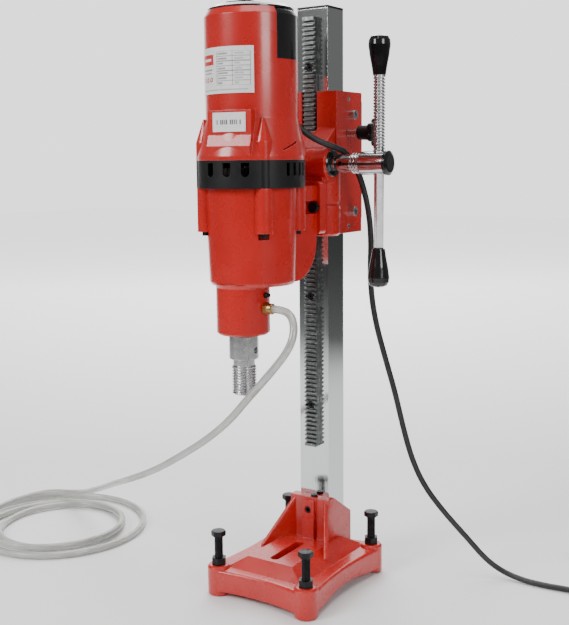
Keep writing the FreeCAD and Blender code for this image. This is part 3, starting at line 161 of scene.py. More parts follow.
def share_grid(rows, columns):
    """The share done, from 0 to 1, along the rows and along the columns of a grid."""
    return np.meshgrid(np.linspace(0, 1, rows), np.linspace(0, 1, columns), indexing="ij")


def grid_uv(rows, columns):
    """UV running from 0 to 1 along the columns and the rows."""
    v, u = share_grid(rows, columns)
    return np.stack([u.ravel(), v.ravel()], axis=1)


def clean(item, crease=38):
    """Merges the poles, turns the faces outwards and smooths all but the sharp edges."""
    work = bmesh.new()
    work.from_mesh(item.data)
    bmesh.ops.remove_doubles(work, verts=work.verts, dist=1e-6)
    bmesh.ops.dissolve_degenerate(work, edges=work.edges, dist=1e-7)
    bmesh.ops.recalc_face_normals(work, faces=work.faces)
    work.to_mesh(item.data)
    work.free()
    item.data.shade_smooth()
    item.data.set_sharp_from_angle(angle=math.radians(crease))
    return item


def turned(name, profile, centre, axis="Z", sides=96):
    """Radius as a function of height, carried once round the axis: (r cos t, r sin t, h)."""
    radius, height = np.array(profile, float).T
    turn = np.linspace(0, 2 * np.pi, sides, endpoint=False)
    x = radius[:, None] * np.cos(turn)
    y = radius[:, None] * np.sin(turn)
    z = np.repeat(height[:, None], sides, axis=1)
    trio = {"Z": (x, y, z), "X": (z, x, y)}[axis]
    points = np.stack([part.ravel() for part in trio], axis=1) + np.array(centre)
    return clean(put_mesh(name, points, grid_quads(len(radius), sides, True)))


def screwed(name, sections, pitch, depth, centre, sides):
    """A turned piece with a right-hand thread: where a section is threaded, the radius
    drops by depth times a rounded triangle wave of (height / pitch - turn / full turn)."""
    heights, radii, cuts = [], [], []
    for (r0, z0, threaded), (r1, z1, _) in zip(sections, sections[1:]):
        count = max(2, int(abs(z1 - z0) / pitch * THREAD_STEPS)) if threaded else 2
        part = np.linspace(0, 1, count)
        fade = np.minimum(1, np.minimum(part, 1 - part) * abs(z1 - z0) / (pitch * THREAD_FADE))
        heights.append(z0 + (z1 - z0) * part)
        radii.append(r0 + (r1 - r0) * part)
        cuts.append(fade if threaded else part * 0)
    height, radius, cut = (np.concatenate(part) for part in (heights, radii, cuts))
    turn = np.linspace(0, 2 * np.pi, sides, endpoint=False)
    phase = (height[:, None] / pitch - turn[None, :] / (2 * np.pi)) % 1
    steepness, crest = 2.6, 0.15
    wave = np.clip(np.abs(phase - 0.5) * steepness - crest, 0, 1)
    r = radius[:, None] - cut[:, None] * depth * wave
    z = np.repeat(height[:, None], sides, axis=1)
    points = np.stack([(r * np.cos(turn)).ravel(), (r * np.sin(turn)).ravel(), z.ravel()], axis=1)
    return clean(put_mesh(name, points + np.array(centre), grid_quads(len(height), sides, True)), 60)


def drilled(item, cutters):
    """Takes the cutters' space out of a piece and removes the cutters."""
    for cutter in cutters:
        change = item.modifiers.new("hole", "BOOLEAN")
        change.operation, change.object, change.solver = "DIFFERENCE", cutter, "EXACT"
    graph = bpy.context.evaluated_depsgraph_get()
    graph.update()
    cut_mesh = bpy.data.meshes.new_from_object(item.evaluated_get(graph))
    item.modifiers.clear()
    item.data = cut_mesh
    for cutter in cutters:
        bpy.data.objects.remove(cutter)
    item.data.shade_smooth()
    item.data.set_sharp_from_angle(angle=math.radians(40))
    return item


def spline_line(points):
    """Points along the smooth curve that has the given control points."""
    curve = bpy.data.curves.new("route", "CURVE")
    curve.dimensions, curve.resolution_u = "3D", 6
    spline = curve.splines.new("NURBS")
    spline.points.add(len(points) - 1)
    flat = [value for point in points for value in (*point, 1.0)]
    spline.points.foreach_set("co", flat)
    spline.order_u = 3
    spline.use_endpoint_u = True
    holder = bpy.data.objects.new("route", curve)
    bpy.context.scene.collection.objects.link(holder)
    bpy.context.view_layer.update()
    mesh = bpy.data.meshes.new_from_object(holder)
    line = np.empty(len(mesh.vertices) * 3, np.float32)
    mesh.vertices.foreach_get("co", line)
    bpy.data.objects.remove(holder)
    bpy.data.meshes.remove(mesh)
    return line.reshape(-1, 3).astype(float)


def tube(name, line, radius, sides=14, swell=None):
    """A circle carried along a line. Each circle lies square to the line, turned as
    little as possible from the one before; its radius may vary along the line."""
    along = np.gradient(line, axis=0)
    along /= np.linalg.norm(along, axis=1)[:, None]
    side = np.empty_like(line)
    side[0] = np.cross(along[0], (0.0, 0.0, 1.0) if abs(along[0][2]) < 0.9 else (1.0, 0.0, 0.0))
    for number in range(1, len(line)):
        side[number] = side[number - 1] - along[number] * (side[number - 1] @ along[number])
    side /= np.linalg.norm(side, axis=1)[:, None]
    other = np.cross(along, side)
    turn = np.linspace(0, 2 * np.pi, sides, endpoint=False)
    size = np.full(len(line), radius) if swell is None else swell
    ring = (side[:, None] * np.cos(turn)[:, None] + other[:, None] * np.sin(turn)[:, None])
    points = (line[:, None] + ring * size[:, None, None]).reshape(-1, 3)
    ends = np.vstack([points, np.repeat(line[:1], sides, 0), np.repeat(line[-1:], sides, 0)])
    quads = grid_quads(len(line), sides, True)
    first, last = len(points), len(points) + sides
    step = np.arange(sides)
    following = (step + 1) % sides
    near = np.stack([first + step, first + following, following, step], axis=1)
    tail = (len(line) - 1) * sides
    far = np.stack([tail + step, tail + following, last + following, last + step], axis=1)
    return clean(put_mesh(name, ends, np.vstack([quads, near, far])), 50)


# ---------------------------------------------------------------- finishes

class Finish:
    """A material under construction, with its shader and short ways to add nodes."""

    def __init__(self, name, colour, metallic=0.0, roughness=0.5):
        self.material = bpy.data.materials.new(f"rig_{name}")
        self.material.use_nodes = True
        self.tree = self.material.node_tree
        self.tree.nodes.clear()
        output = self.tree.nodes.new("ShaderNodeOutputMaterial")
        self.shader = self.tree.nodes.new("ShaderNodeBsdfPrincipled")
        self.tree.links.new(self.shader.outputs["BSDF"], output.inputs["Surface"])
        self.set("Base Color", (*colour, 1.0))
        self.set("Metallic", metallic)
        self.set("Roughness", roughness)
        self.colour = (*colour, 1.0)
        self.where = self.tree.nodes.new("ShaderNodeTexCoord").outputs["Object"]

    def set(self, socket, value):
        """Sets one of the shader's own values."""
        self.shader.inputs[socket].default_value = value

    def add(self, kind, inputs=(), **values):
        """A new node, each of whose inputs is a value or another node's output."""
        item = self.tree.nodes.new(kind)
        for key, value in values.items():
            setattr(item, key, value)
        for key, value in dict(inputs).items():
            if isinstance(value, bpy.types.NodeSocket):
                self.tree.links.new(value, item.inputs[key])
            else:
                item.inputs[key].default_value = value
        return item

    def stretch(self, scale):
        """Object coordinates scaled by a different amount on each axis."""
        return self.add("ShaderNodeMapping", {"Vector": self.where, "Scale": scale}).outputs[0]

    def noise(self, scale, detail=3.0, rough=0.55, source=None):
        """Smooth random values on object coordinates, or on another source."""
        return self.add("ShaderNodeTexNoise", {"Vector": source or self.where, "Scale": scale,
                                               "Detail": detail, "Roughness": rough}).outputs["Fac"]

    def span(self, value, low, high, start=0.0, end=1.0):
        """Maps a value's range start..end to low..high."""
        return self.add("ShaderNodeMapRange", {"Value": value, "From Min": start, "From Max": end,
                                               "To Min": low, "To Max": high}).outputs["Result"]

    def math(self, operation, first, second=0.5):
        """One sum on one or two values."""
        return self.add("ShaderNodeMath", {0: first, 1: second}, operation=operation).outputs[0]

    def blend(self, factor, first, second):
        """The first colour where the factor is 0, and the second where it is 1."""
        item = self.add("ShaderNodeMix", {"Factor": factor}, data_type="RGBA")
        for socket, value in ((item.inputs[6], first), (item.inputs[7], second)):
            if isinstance(value, bpy.types.NodeSocket):
                self.tree.links.new(value, socket)
            else:
                socket.default_value = value
        return item.outputs[2]

    def link(self, source, socket):
        """Feeds one of the shader's sockets."""
        self.tree.links.new(source, self.shader.inputs[socket])

    def shaded(self, amount, scale=30.0, detail=4.0):
        """Base colour lighter and darker by an amount in soft patches."""
        dark = tuple(c * (1 - amount) for c in self.colour[:3]) + (1.0,)
        light = tuple(min(1, c * (1 + amount)) for c in self.colour[:3]) + (1.0,)
        mixed = self.blend(self.span(self.noise(scale, detail), 0, 1, 0.3, 0.7), dark, light)
        self.link(mixed, "Base Color")

    def rough_patches(self, low, high, scale=60.0, source=None):
        """Roughness wandering between two values."""
        self.link(self.span(self.noise(scale, 4.0, 0.6, source), low, high, 0.25, 0.75), "Roughness")

    def relief(self, height, distance, strength=1.0, edge=None):
        """Bump from a height, on edges rounded by a small radius when edge is set."""
        inputs = {"Height": height, "Distance": distance, "Strength": strength}
        if edge:
            inputs["Normal"] = self.add("ShaderNodeBevel", {"Radius": edge}, samples=6).outputs[0]
        self.link(self.add("ShaderNodeBump", inputs).outputs[0], "Normal")


def red_enamel():
    """Glossy enamel on cast metal: orange peel, a cast swell under it and soft tone patches."""
    look = Finish("red_enamel", settings().enamel, 0.0, settings().enamel_gloss)
    look.shaded(0.08, 14.0)
    look.rough_patches(settings().enamel_gloss - 0.05, settings().enamel_gloss + 0.07, 35.0)
    look.set("Coat Weight", 0.35)
    look.set("Coat Roughness", 0.12)
    peel = look.noise(480.0, 2.0, 0.5)
    swell = look.noise(70.0, 2.0, 0.5)
    height = look.math("ADD", look.math("MULTIPLY", peel, 0.3), swell)
    look.relief(height, 0.0003, 0.3, 0.0018)
    return look.material


def chrome_plate():
    """Polished plate with faint polishing lines along the length."""
    look = Finish("chrome_plate", (0.60, 0.62, 0.62), 1.0, 0.06)
    lines = look.stretch((1.0, 1.0, 0.02))
    look.rough_patches(0.03, 0.13, 900.0, lines)
    look.relief(look.noise(700.0, 3.0, 0.5, lines), 0.00006, 0.5, 0.0008)
    return look.material


def machined_steel():
    """Turned and ground steel: fine tool rings, small stains."""
    look = Finish("machined_steel", (0.60, 0.60, 0.61), 1.0, 0.2)
    look.shaded(0.12, 90.0)
    look.rough_patches(0.14, 0.3, 220.0)
    look.relief(look.noise(1500.0, 2.0, 0.5, look.stretch((0.15, 0.15, 1.0))), 0.00005, 0.6, 0.0004)
    return look.material


def dark_steel():
    """Oiled rack steel: dark, with brighter worn streaks."""
    look = Finish("dark_steel", (0.20, 0.21, 0.20), 1.0, 0.3)
    worn = look.span(look.noise(180.0, 5.0, 0.65), 0, 1, 0.5, 0.75)
    look.link(look.blend(worn, (0.16, 0.17, 0.165, 1), (0.42, 0.43, 0.42, 1)), "Base Color")
    look.rough_patches(0.24, 0.48, 260.0)
    look.relief(look.noise(900.0, 4.0), 0.00012, 0.6, 0.0004)
    return look.material


def black_oxide():
    """Blackened screws: dark metal, a little brown where handled."""
    look = Finish("black_oxide", (0.022, 0.022, 0.024), 0.75, 0.36)
    worn = look.span(look.noise(320.0, 4.0, 0.6), 0, 1, 0.55, 0.8)
    look.link(look.blend(worn, (0.016, 0.016, 0.018, 1), (0.075, 0.07, 0.066, 1)), "Base Color")
    look.rough_patches(0.28, 0.5, 300.0)
    look.relief(look.noise(1100.0, 3.0), 0.00008, 0.6, 0.0005)
    return look.material


def moulded_black(name, roughness, coat, grain):
    """Moulded plastic: faint mould grain, soft gloss changes."""
    look = Finish(name, (0.006, 0.006, 0.007), 0.0, roughness)
    look.shaded(0.25, 40.0)
    look.rough_patches(max(0.03, roughness - 0.05), roughness + 0.1, 70.0)
    look.set("Coat Weight", coat)
    look.set("Coat Roughness", 0.08)
    look.set("Specular IOR Level", 0.35)
    look.relief(look.noise(1300.0, 2.0, 0.5), grain, 0.6, 0.0009)
    return look.material


def cord_rubber():
    """Cord sheath: satin rubber with scuffs."""
    look = Finish("cord_rubber", settings().cord_colour, 0.0, 0.42)
    scuff = look.span(look.noise(240.0, 5.0, 0.7), 0, 1, 0.58, 0.8)
    look.link(look.blend(scuff, (*settings().cord_colour, 1), (0.05, 0.05, 0.052, 1)), "Base Color")
    look.rough_patches(0.34, 0.6, 150.0)
    look.relief(look.noise(1600.0, 3.0), 0.00008, 0.6)
    return look.material


def clear_vinyl():
    """Clear hose: milky wall, brighter in patches where it kinks the light."""
    look = Finish("clear_vinyl", settings().hose_colour, 0.0, 0.16)
    look.shaded(0.09, 45.0)
    look.rough_patches(0.1, 0.28, 90.0)
    look.set("Transmission Weight", 0.42)
    look.set("IOR", 1.42)
    look.set("Coat Weight", 0.4)
    look.set("Coat Roughness", 0.05)
    look.relief(look.noise(150.0, 3.0), 0.0004, 0.35)
    return look.material


def yellow_metal(name, colour, roughness):
    """Brass, bronze or copper with darker tarnish."""
    look = Finish(name, colour, 1.0, roughness)
    tarnish = look.span(look.noise(230.0, 5.0, 0.65), 0, 1, 0.45, 0.8)
    dull = tuple(c * 0.45 for c in colour) + (1.0,)
    look.link(look.blend(tarnish, (*colour, 1), dull), "Base Color")
    look.rough_patches(roughness - 0.08, roughness + 0.15, 260.0)
    look.relief(look.noise(1200.0, 3.0), 0.00008, 0.6, 0.0003)
    return look.material


def cast_aluminium():
    """As-cast light alloy with a sandy skin."""
    look = Finish("cast_aluminium", (0.55, 0.55, 0.56), 1.0, 0.45)
    look.shaded(0.12, 120.0)
    look.rough_patches(0.35, 0.6, 200.0)
    look.relief(look.noise(900.0, 5.0, 0.7), 0.0003, 0.7)
    return look.material


def label_film():
    """White printed film; print 1 is dark ink, print 2 red, carried by the piece's own attribute."""
    look = Finish("label_white", (0.80, 0.80, 0.79), 0.0, 0.3)
    ink = look.add("ShaderNodeAttribute", attribute_name="print").outputs["Fac"]
    paper = look.blend(look.span(look.noise(200.0), 0, 1, 0.3, 0.7), (0.76, 0.76, 0.75, 1),
                       (0.84, 0.84, 0.83, 1))
    dark = look.blend(look.span(ink, 0, 1, 0.2, 0.8), paper, (0.10, 0.10, 0.11, 1))
    red = look.blend(look.span(ink, 0, 1, 1.3, 1.7), dark, (0.60, 0.03, 0.03, 1))
    look.link(red, "Base Color")
    look.rough_patches(0.22, 0.4, 120.0)
    look.relief(look.noise(700.0, 2.0), 0.00004, 0.5)
    return look.material


def label_plate():
    """Etched grey plate with fine brushing."""
    look = Finish("label_grey", (0.30, 0.31, 0.32), 1.0, 0.35)
    look.shaded(0.2, 300.0)
    look.rough_patches(0.25, 0.5, 300.0)
    look.relief(look.noise(900.0, 3.0, 0.5, look.stretch((1.0, 1.0, 0.1))), 0.00005, 0.6)
    return look.material


def carbon_block():
    """Graphite brushes in phenolic holders."""
    look = Finish("carbon", (0.035, 0.033, 0.032), 0.1, 0.55)
    look.shaded(0.3, 300.0)
    look.rough_patches(0.4, 0.65, 300.0)
    look.relief(look.noise(1200.0, 4.0), 0.0001, 0.6)
    return look.material


def make_finishes():
    """Every finish by the name of its slot."""
    return {
        "red_enamel": red_enamel(), "chrome_plate": chrome_plate(), "machined_steel": machined_steel(),
        "dark_steel": dark_steel(), "black_oxide": black_oxide(),
        "black_plastic": moulded_black("black_plastic", 0.42, 0.0, 0.00012),
        "black_gloss": moulded_black("black_gloss", 0.16, 0.5, 0.00004),
        "cord_rubber": cord_rubber(), "clear_vinyl": clear_vinyl(),
        "brass_fitting": yellow_metal("brass_fitting", (0.52, 0.34, 0.13), 0.3),
        "bronze": yellow_metal("bronze", (0.46, 0.28, 0.12), 0.35),
        "copper_wire": yellow_metal("copper_wire", (0.52, 0.2, 0.08), 0.3),
        "cast_aluminium": cast_aluminium(), "label_white": label_film(), "label_grey": label_plate(),
        "carbon": carbon_block(),
    }


def finish(slot):
    """The finish made for a slot."""
    return bpy.data.materials[f"rig_{slot}"]


def seat(item, body, slot, *replaced):
    """Gives a piece its finish and its body, and hides the plain parts that it stands for."""
    item.data.materials.clear()
    item.data.materials.append(finish(slot))
    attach(item, body)
    if replaced:
        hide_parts(*replaced)
    return item


# ---------------------------------------------------------------- pieces

class RIG_OT_finishes(bpy.types.Operator):
    """Gives every plain part its paint, plating or moulded finish"""
    bl_idname = "rig.finishes"
    bl_label = "Finishes"

    def execute(self, context):
        made = make_finishes()
        for name, item in NODES.items():
            slot = SLOT_OF[name]
            if slot not in made:
                raise RuntimeError(f"no finish for {slot}")
            item.data.materials.clear()
            item.data.materials.append(made[slot])
        return {"FINISHED"}


HOSE_ROUTE = [
    (46, -192, 413), (62, -192, 413), (76, -196.5, 407), (84.5, -203.5, 395), (86, -210, 380),
    (80, -214, 365), (68, -216, 349), (46, -216, 325), (20, -214, 299), (-15, -209, 263),
    (-58, -206, 230), (-108, -200, 199), (-150, -190, 175), (-198, -173, 152), (-248, -150, 130),
    (-300, -122, 108), (-352, -90, 84), (-402, -62, 62), (-448, -38, 43), (-490, -18, 29),
    (-520, -11, 21.5), (-548, -15, 18.5), (-566, -30, 17), (-574, -49, 16.5), (-576.5, -68, 16.2),
]
CORD_ROUTE = [
    (8, -100.5, 690), (8, -100.5, 662), (20, -86, 637), (38, -72, 622), (53, -54, 614), (60, -33, 607),
    (66, -18, 588), (72, -8, 562), (78, -2, 525), (80, 1, 486), (78, 2, 446), (79, 4, 408),
    (85, 8, 366), (97, 15, 316), (108, 23, 268), (116, 31, 220), (126, 40, 172), (141, 50, 132),
    (166, 63, 94), (196, 76, 58), (222, 88, 25), (246, 95, 9), (276, 93, 4.2), (308, 92, 4.2),
    (345, 97.2, 4.2), (380, 97.2, 4.2),
]
HOSE_CENTRE, CORD_CENTRE = (-447, -104), (425, 150)


def winding(centre, first, last, steps, radius, height):
    """Points on turns round a centre: radius and height are functions of the share done."""
    share = np.linspace(0, 1, steps)
    angle = np.radians(first + (last - first) * share)
    r, z = radius(share), height(share)
    return [place(centre[0] + a * math.cos(t), centre[1] + a * math.sin(t), h)
            for a, t, h in zip(r, angle, z)]


class RIG_OT_hose(bpy.types.Operator):
    """Makes the water hose: from the fitting to the floor, its loose coil and its end"""
    bl_idname = "rig.hose"
    bl_label = "Water hose"

    def execute(self, context):
        share = [0, 0.1, 0.22, 0.35, 0.5, 0.62, 0.72, 0.82, 0.92, 1.0]
        loose = [134, 126, 104, 93, 104, 116, 127, 139, 150, 155]
        drop = [16, 16.2, 9, 5.4, 5.4, 5.4, 5.4, 5.4, 5.6, 8]
        turns = winding(HOSE_CENTRE, 172, 200 + 360 * 3, 44,
                        lambda s: np.interp(s, share, loose), lambda s: np.interp(s, share, drop))
        points = [place(*p) for p in HOSE_ROUTE] + turns
        points += [place(-583, -184, 9.2), place(-575, -205, 9.2), place(-568.7, -222.8, 9.2)]
        line = spline_line(points)
        hose = tube("water_hose_line", line, HOSE_DIAMETER / 2, 16)
        hose.data.materials.append(finish("clear_vinyl"))
        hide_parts("water_hose", "hose_coil")
        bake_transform(hose)
        return {"FINISHED"}


class RIG_OT_cord(bpy.types.Operator):
    """Makes the power cord: from the strain relief to the floor and its put-away coil"""
    bl_idname = "rig.cord"
    bl_label = "Power cord"

    def execute(self, context):
        share = [0, 0.3, 0.36, 0.63, 0.7, 1.0]
        packed = [52.8, 37.5, 37.5, 52.8, 52.8, 41]
        layers = [4.3, 4.3, 12.3, 12.3, 20.0, 20.0]
        turns = winding(CORD_CENTRE, -90 + 26, 90 + 360 * 5, 84,
                        lambda s: np.interp(s, share, packed), lambda s: np.interp(s, share, layers))
        points = [place(*p) for p in CORD_ROUTE] + [place(405, 97.2, 4.2), place(430, 97.3, 4.2)]
        points += turns
        points += [place(405, 197, 19), place(390, 202, 18), place(378, 203, 18)]
        line = spline_line(points)
        cord = tube("power_cord_line", line, CORD_DIAMETER / 2, 14)
        cord.data.materials.append(finish("cord_rubber"))
        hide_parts("power_cord", "cord_coil")
        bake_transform(cord)
        return {"FINISHED"}


class RIG_OT_threads(bpy.types.Operator):
    """Makes the threaded pieces: spindle, crank bar and levelling screws"""
    bl_idname = "rig.threads"
    bl_label = "Threads"

    def execute(self, context):
        look = settings()
        low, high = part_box("drill_spindle")
        axis = ((low.x + high.x) / 2, (low.y + high.y) / 2, 0)
        bore = mm(5)
        body = [
            (0, mm(304), False), (bore, mm(304), False), (bore, mm(301), False),
            (mm(6.2), mm(300), False), (mm(13.6), mm(300), False), (mm(15.6), mm(302), False),
            (mm(15.875), mm(302.3), True), (mm(15.875), mm(336), False), (mm(14), mm(338), False),
            (mm(14), mm(346), False), (mm(18.4), mm(346.5), False), (mm(19), mm(347.2), False),
            (mm(19), mm(376), False), (mm(18.5), mm(376.5), False), (mm(15), mm(377), False),
            (mm(15), high.z, False), (0, high.z, False)]
        spindle = screwed("spindle_turned", body, look.nose_pitch, mm(2.1), axis, look.round_sides)
        hole = turned("tommy_hole", [(0, 0), (mm(4), 0), (mm(4), mm(9)), (0, mm(9))],
                      (axis[0] + mm(12), axis[1], mm(358.5)), "X", 32)
        drilled(spindle, [hole])
        seat(spindle, "spindle", "machined_steel", "drill_spindle")

        low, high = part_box("crank_bar")
        axis = ((low.x + high.x) / 2, (low.y + high.y) / 2, 0)
        thick, thin = mm(8), mm(6.5)
        middle = (low.z + high.z) / 2
        bar = [(0, low.z, False), (thin - mm(1), low.z, False), (thin, low.z + mm(1), False),
               (thin, middle - mm(15), False), (thick, middle - mm(13), False),
               (thick, middle + mm(13), True), (thick, middle + mm(112), False),
               (thin, middle + mm(112), False), (thin, high.z, False), (0, high.z, False)]
        crank = screwed("crank_bar_threaded", bar, look.bar_pitch, mm(1.5), axis, 64)
        seat(crank, "crank", "machined_steel", "crank_bar")
        for corner in ("front_left", "front_right", "rear_left", "rear_right"):
            self.level_screw(corner, look)
        return {"FINISHED"}

    def level_screw(self, corner, look):
        """Hexagon head with a washer face and rounded corners, over a threaded shank."""
        node = f"level_screw_{corner}"
        low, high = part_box(node)
        axis = ((low.x + high.x) / 2, (low.y + high.y) / 2, 0)
        head_height, flats = mm(7.5), mm(18)
        under = high.z - head_height
        shank = [(0, low.z, False), (mm(4.5), low.z, False), (mm(6), low.z + mm(2), True),
                 (mm(6), under - mm(2), False), (mm(5.6), under - mm(1.5), False),
                 (mm(5.6), under + mm(1), False), (0, under + mm(1), False)]
        screw = screwed(f"levelling_screw_{corner}", shank, look.screw_pitch, mm(0.95), axis, 48)
        seat(screw, f"{corner}_screw", "black_oxide", node)
        head = hexagon_head(f"screw_head_{corner}", flats, under, high.z, axis)
        seat(head, f"{corner}_screw", "black_oxide")


def hexagon_head(name, flats, low, high, axis):
    """Radius min(hexagon, cone): the hexagon (flats / 2) / cos(angle from the nearest flat),
    cut by a 30 degree cone at the top and a round washer face below."""
    tall = high - low
    turn = np.linspace(0, 2 * np.pi, 96, endpoint=False)
    nearest = (turn + math.pi / 6) % (math.pi / 3) - math.pi / 6
    outline = (flats / 2) / np.cos(nearest)
    levels = np.array([0, 0, 0.03, 0.05, 0.70, 0.80, 0.90, 0.97, 1.0, 1.0])
    limit = np.array([0, 0.47, 0.47, 0.56, 0.60, 0.573, 0.545, 0.515, 0.485, 0]) * flats
    radius = np.minimum(outline[None, :], limit[:, None])
    height = np.repeat((low + tall * levels)[:, None], len(turn), axis=1)
    sides = (radius * np.cos(turn), radius * np.sin(turn), height)
    points = np.stack([side.ravel() for side in sides], axis=1) + np.array(axis)
    return clean(put_mesh(name, points, grid_quads(len(levels), len(turn), True)), 25)


class RIG_OT_labels(bpy.types.Operator):
    """Makes the two printed labels, with ruled lines and plain bars in place of words"""
    bl_idname = "rig.labels"
    bl_label = "Labels"

    def execute(self, context):
        barrel_low, barrel_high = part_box("top_cap")
        centre = ((barrel_low.x + barrel_high.x) / 2, (barrel_low.y + barrel_high.y) / 2)
        radius = mm(59.2)
        first_turn, plate_turn, plate_low, plate_height = -138, 86, 677, 55
        v, u = share_grid(150, 240)
        angle = np.radians(first_turn + plate_turn * u)
        grown = np.stack([centre[0] + radius * np.cos(angle), centre[1] + radius * np.sin(angle),
                          (plate_low + plate_height * v) * MM], axis=-1)
        plate = self.printed("rating_plate_film", grown, self.table_print(u, v))
        seat(plate, "carriage", "label_white", "motor_labels")
        half_width, ahead, strip_low, strip_height, turn = 22, -60.75, 631, 23, math.radians(10)
        v, u = share_grid(50, 120)
        across = -half_width + 2 * half_width * u
        head_x, head_y, _ = place(0, -170, 0)
        flat = np.stack([head_x + (across * math.cos(turn) - ahead * math.sin(turn)) * MM,
                         head_y + (across * math.sin(turn) + ahead * math.cos(turn)) * MM,
                         (strip_low + strip_height * v) * MM], axis=-1)
        strip = self.printed("front_label_film", flat, self.bar_print(u, v))
        seat(strip, "carriage", "label_white")
        return {"FINISHED"}

    def printed(self, name, grown, ink):
        """A grid of points with its ink stored per point, closed behind by a thin wall."""
        rows, columns = ink.shape
        item = put_mesh(name, grown.reshape(-1, 3), grid_quads(rows, columns, False),
                        uv=grid_uv(rows, columns))
        attribute = item.data.attributes.new("print", "FLOAT", "POINT")
        attribute.data.foreach_set("value", ink.ravel().astype(np.float32))
        wall = item.modifiers.new("thickness", "SOLIDIFY")
        wall.thickness, wall.offset = LABEL_THICKNESS, -1
        return item

    def table_print(self, u, v):
        """Ink is the union of bands |u - a| < w and |v - b| < w, bars of words and one red patch."""
        ink = np.zeros_like(u)
        line_ink, word_ink, faint_ink, red_ink = 0.75, 0.6, 0.45, 2.0
        left, middle, right, bottom, top, row_height = 0.44, 0.70, 0.95, 0.17, 0.9, 0.1043
        table = (u > left) & (u < right) & (v > bottom) & (v < top)
        row = (v - bottom) / row_height
        ink[table & (np.abs(row - np.round(row)) < 0.07)] = line_ink
        for at in (left, middle, right):
            ink[(np.abs(u - at) < 0.004) & (v > bottom) & (v < top)] = line_ink
        word = np.abs(row - np.floor(row) - 0.5) < 0.2
        length = 0.08 + 0.09 * np.abs(np.sin(np.floor(row) * 2.3))
        ink[table & word & (u > 0.46) & (u < 0.46 + length)] = word_ink
        ink[table & word & (u > 0.73) & (u < 0.73 + length * 0.8)] = faint_ink
        centre, badge_v, circle_v, circle_stretch = 0.22, 0.74, 0.31, 1.55
        aside = np.abs(u - centre)
        badge = (aside < 0.15) & (np.abs(v - badge_v) < 0.11)
        ink[badge] = red_ink
        ink[badge & (np.abs(v - badge_v) < 0.03) & (aside < 0.1)] = 0.0
        ink[(aside < 0.13) & (np.abs(v - 0.52) < 0.018)] = word_ink
        ink[(aside < 0.11) & (np.abs(v - 0.45) < 0.015)] = word_ink
        for at in (0.12, centre, 0.32):
            from_circle = ((u - at) * circle_stretch) ** 2 + (v - circle_v) ** 2
            ink[from_circle < 0.0026] = red_ink
            ink[from_circle < 0.0008] = 0.0
        ink[(np.abs(u - 0.5) < 0.42) & (np.abs(v - 0.08) < 0.012)] = word_ink
        return ink

    def bar_print(self, u, v):
        """One row of short dark bars inside a thin frame."""
        ink = np.zeros_like(u)
        inside = (np.abs(v - 0.5) < 0.13) & (u > 0.12) & (u < 0.88)
        beats = 17
        ink[inside & ((u * beats) % 1 < 0.6) & ((u * beats // 1) % 5 != 3)] = 0.9
        edge = (np.abs(u - 0.5) > 0.47) | (np.abs(v - 0.5) > 0.44)
        frame_line = edge & (np.abs(u - 0.5) < 0.48) & (np.abs(v - 0.5) < 0.46)
        ink[frame_line] = 0.3
        return ink


class RIG_OT_knob_stud(bpy.types.Operator):
    """Makes the bright threaded stud between the carriage and the star knob"""
    bl_idname = "rig.knob_stud"
    bl_label = "Lock knob stud"

    def execute(self, context):
        radius, length = mm(5.1), mm(22)
        stud = [(0, 0, False), (radius, 0, False), (radius, length, True), (0, length, False)]
        item = screwed("knob_stud", stud, mm(1.5), mm(0.8), (0, 0, 0), 40)
        item.data.transform(Matrix.Rotation(math.radians(90), 4, "Y"))
        item.data.transform(Matrix.Translation(place(43.5, 0, 633)))
        seat(item, "lock_knob", "machined_steel")
        return {"FINISHED"}


class RIG_OT_relief(bpy.types.Operator):
    """Makes the ribbed strain relief where the cord leaves the motor"""
    bl_idname = "rig.relief"
    bl_label = "Strain relief"

    def execute(self, context):
        low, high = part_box("cord_relief")
        axis = ((low.x + high.x) / 2, (low.y + high.y) / 2, 0)
        collar = high.z - mm(7)
        rib_depth, rib_pitch = mm(0.5), mm(4)
        height = np.linspace(low.z, collar, 90)
        share = (height - height[0]) / (height[-1] - height[0])
        rib = rib_depth * (np.cos((height - height[0]) / rib_pitch * 2 * np.pi) > -0.2)
        radius = (4.5 + 1.9 * share) * MM - rib_depth + rib
        profile = [(0, low.z), *zip(radius, height), (mm(5), collar), (mm(5), high.z), (0, high.z)]
        seat(turned("ribbed_relief", profile, axis, "Z", 48), "carriage", "cord_rubber", "cord_relief")
        return {"FINISHED"}


# ---------------------------------------------------------------- stage

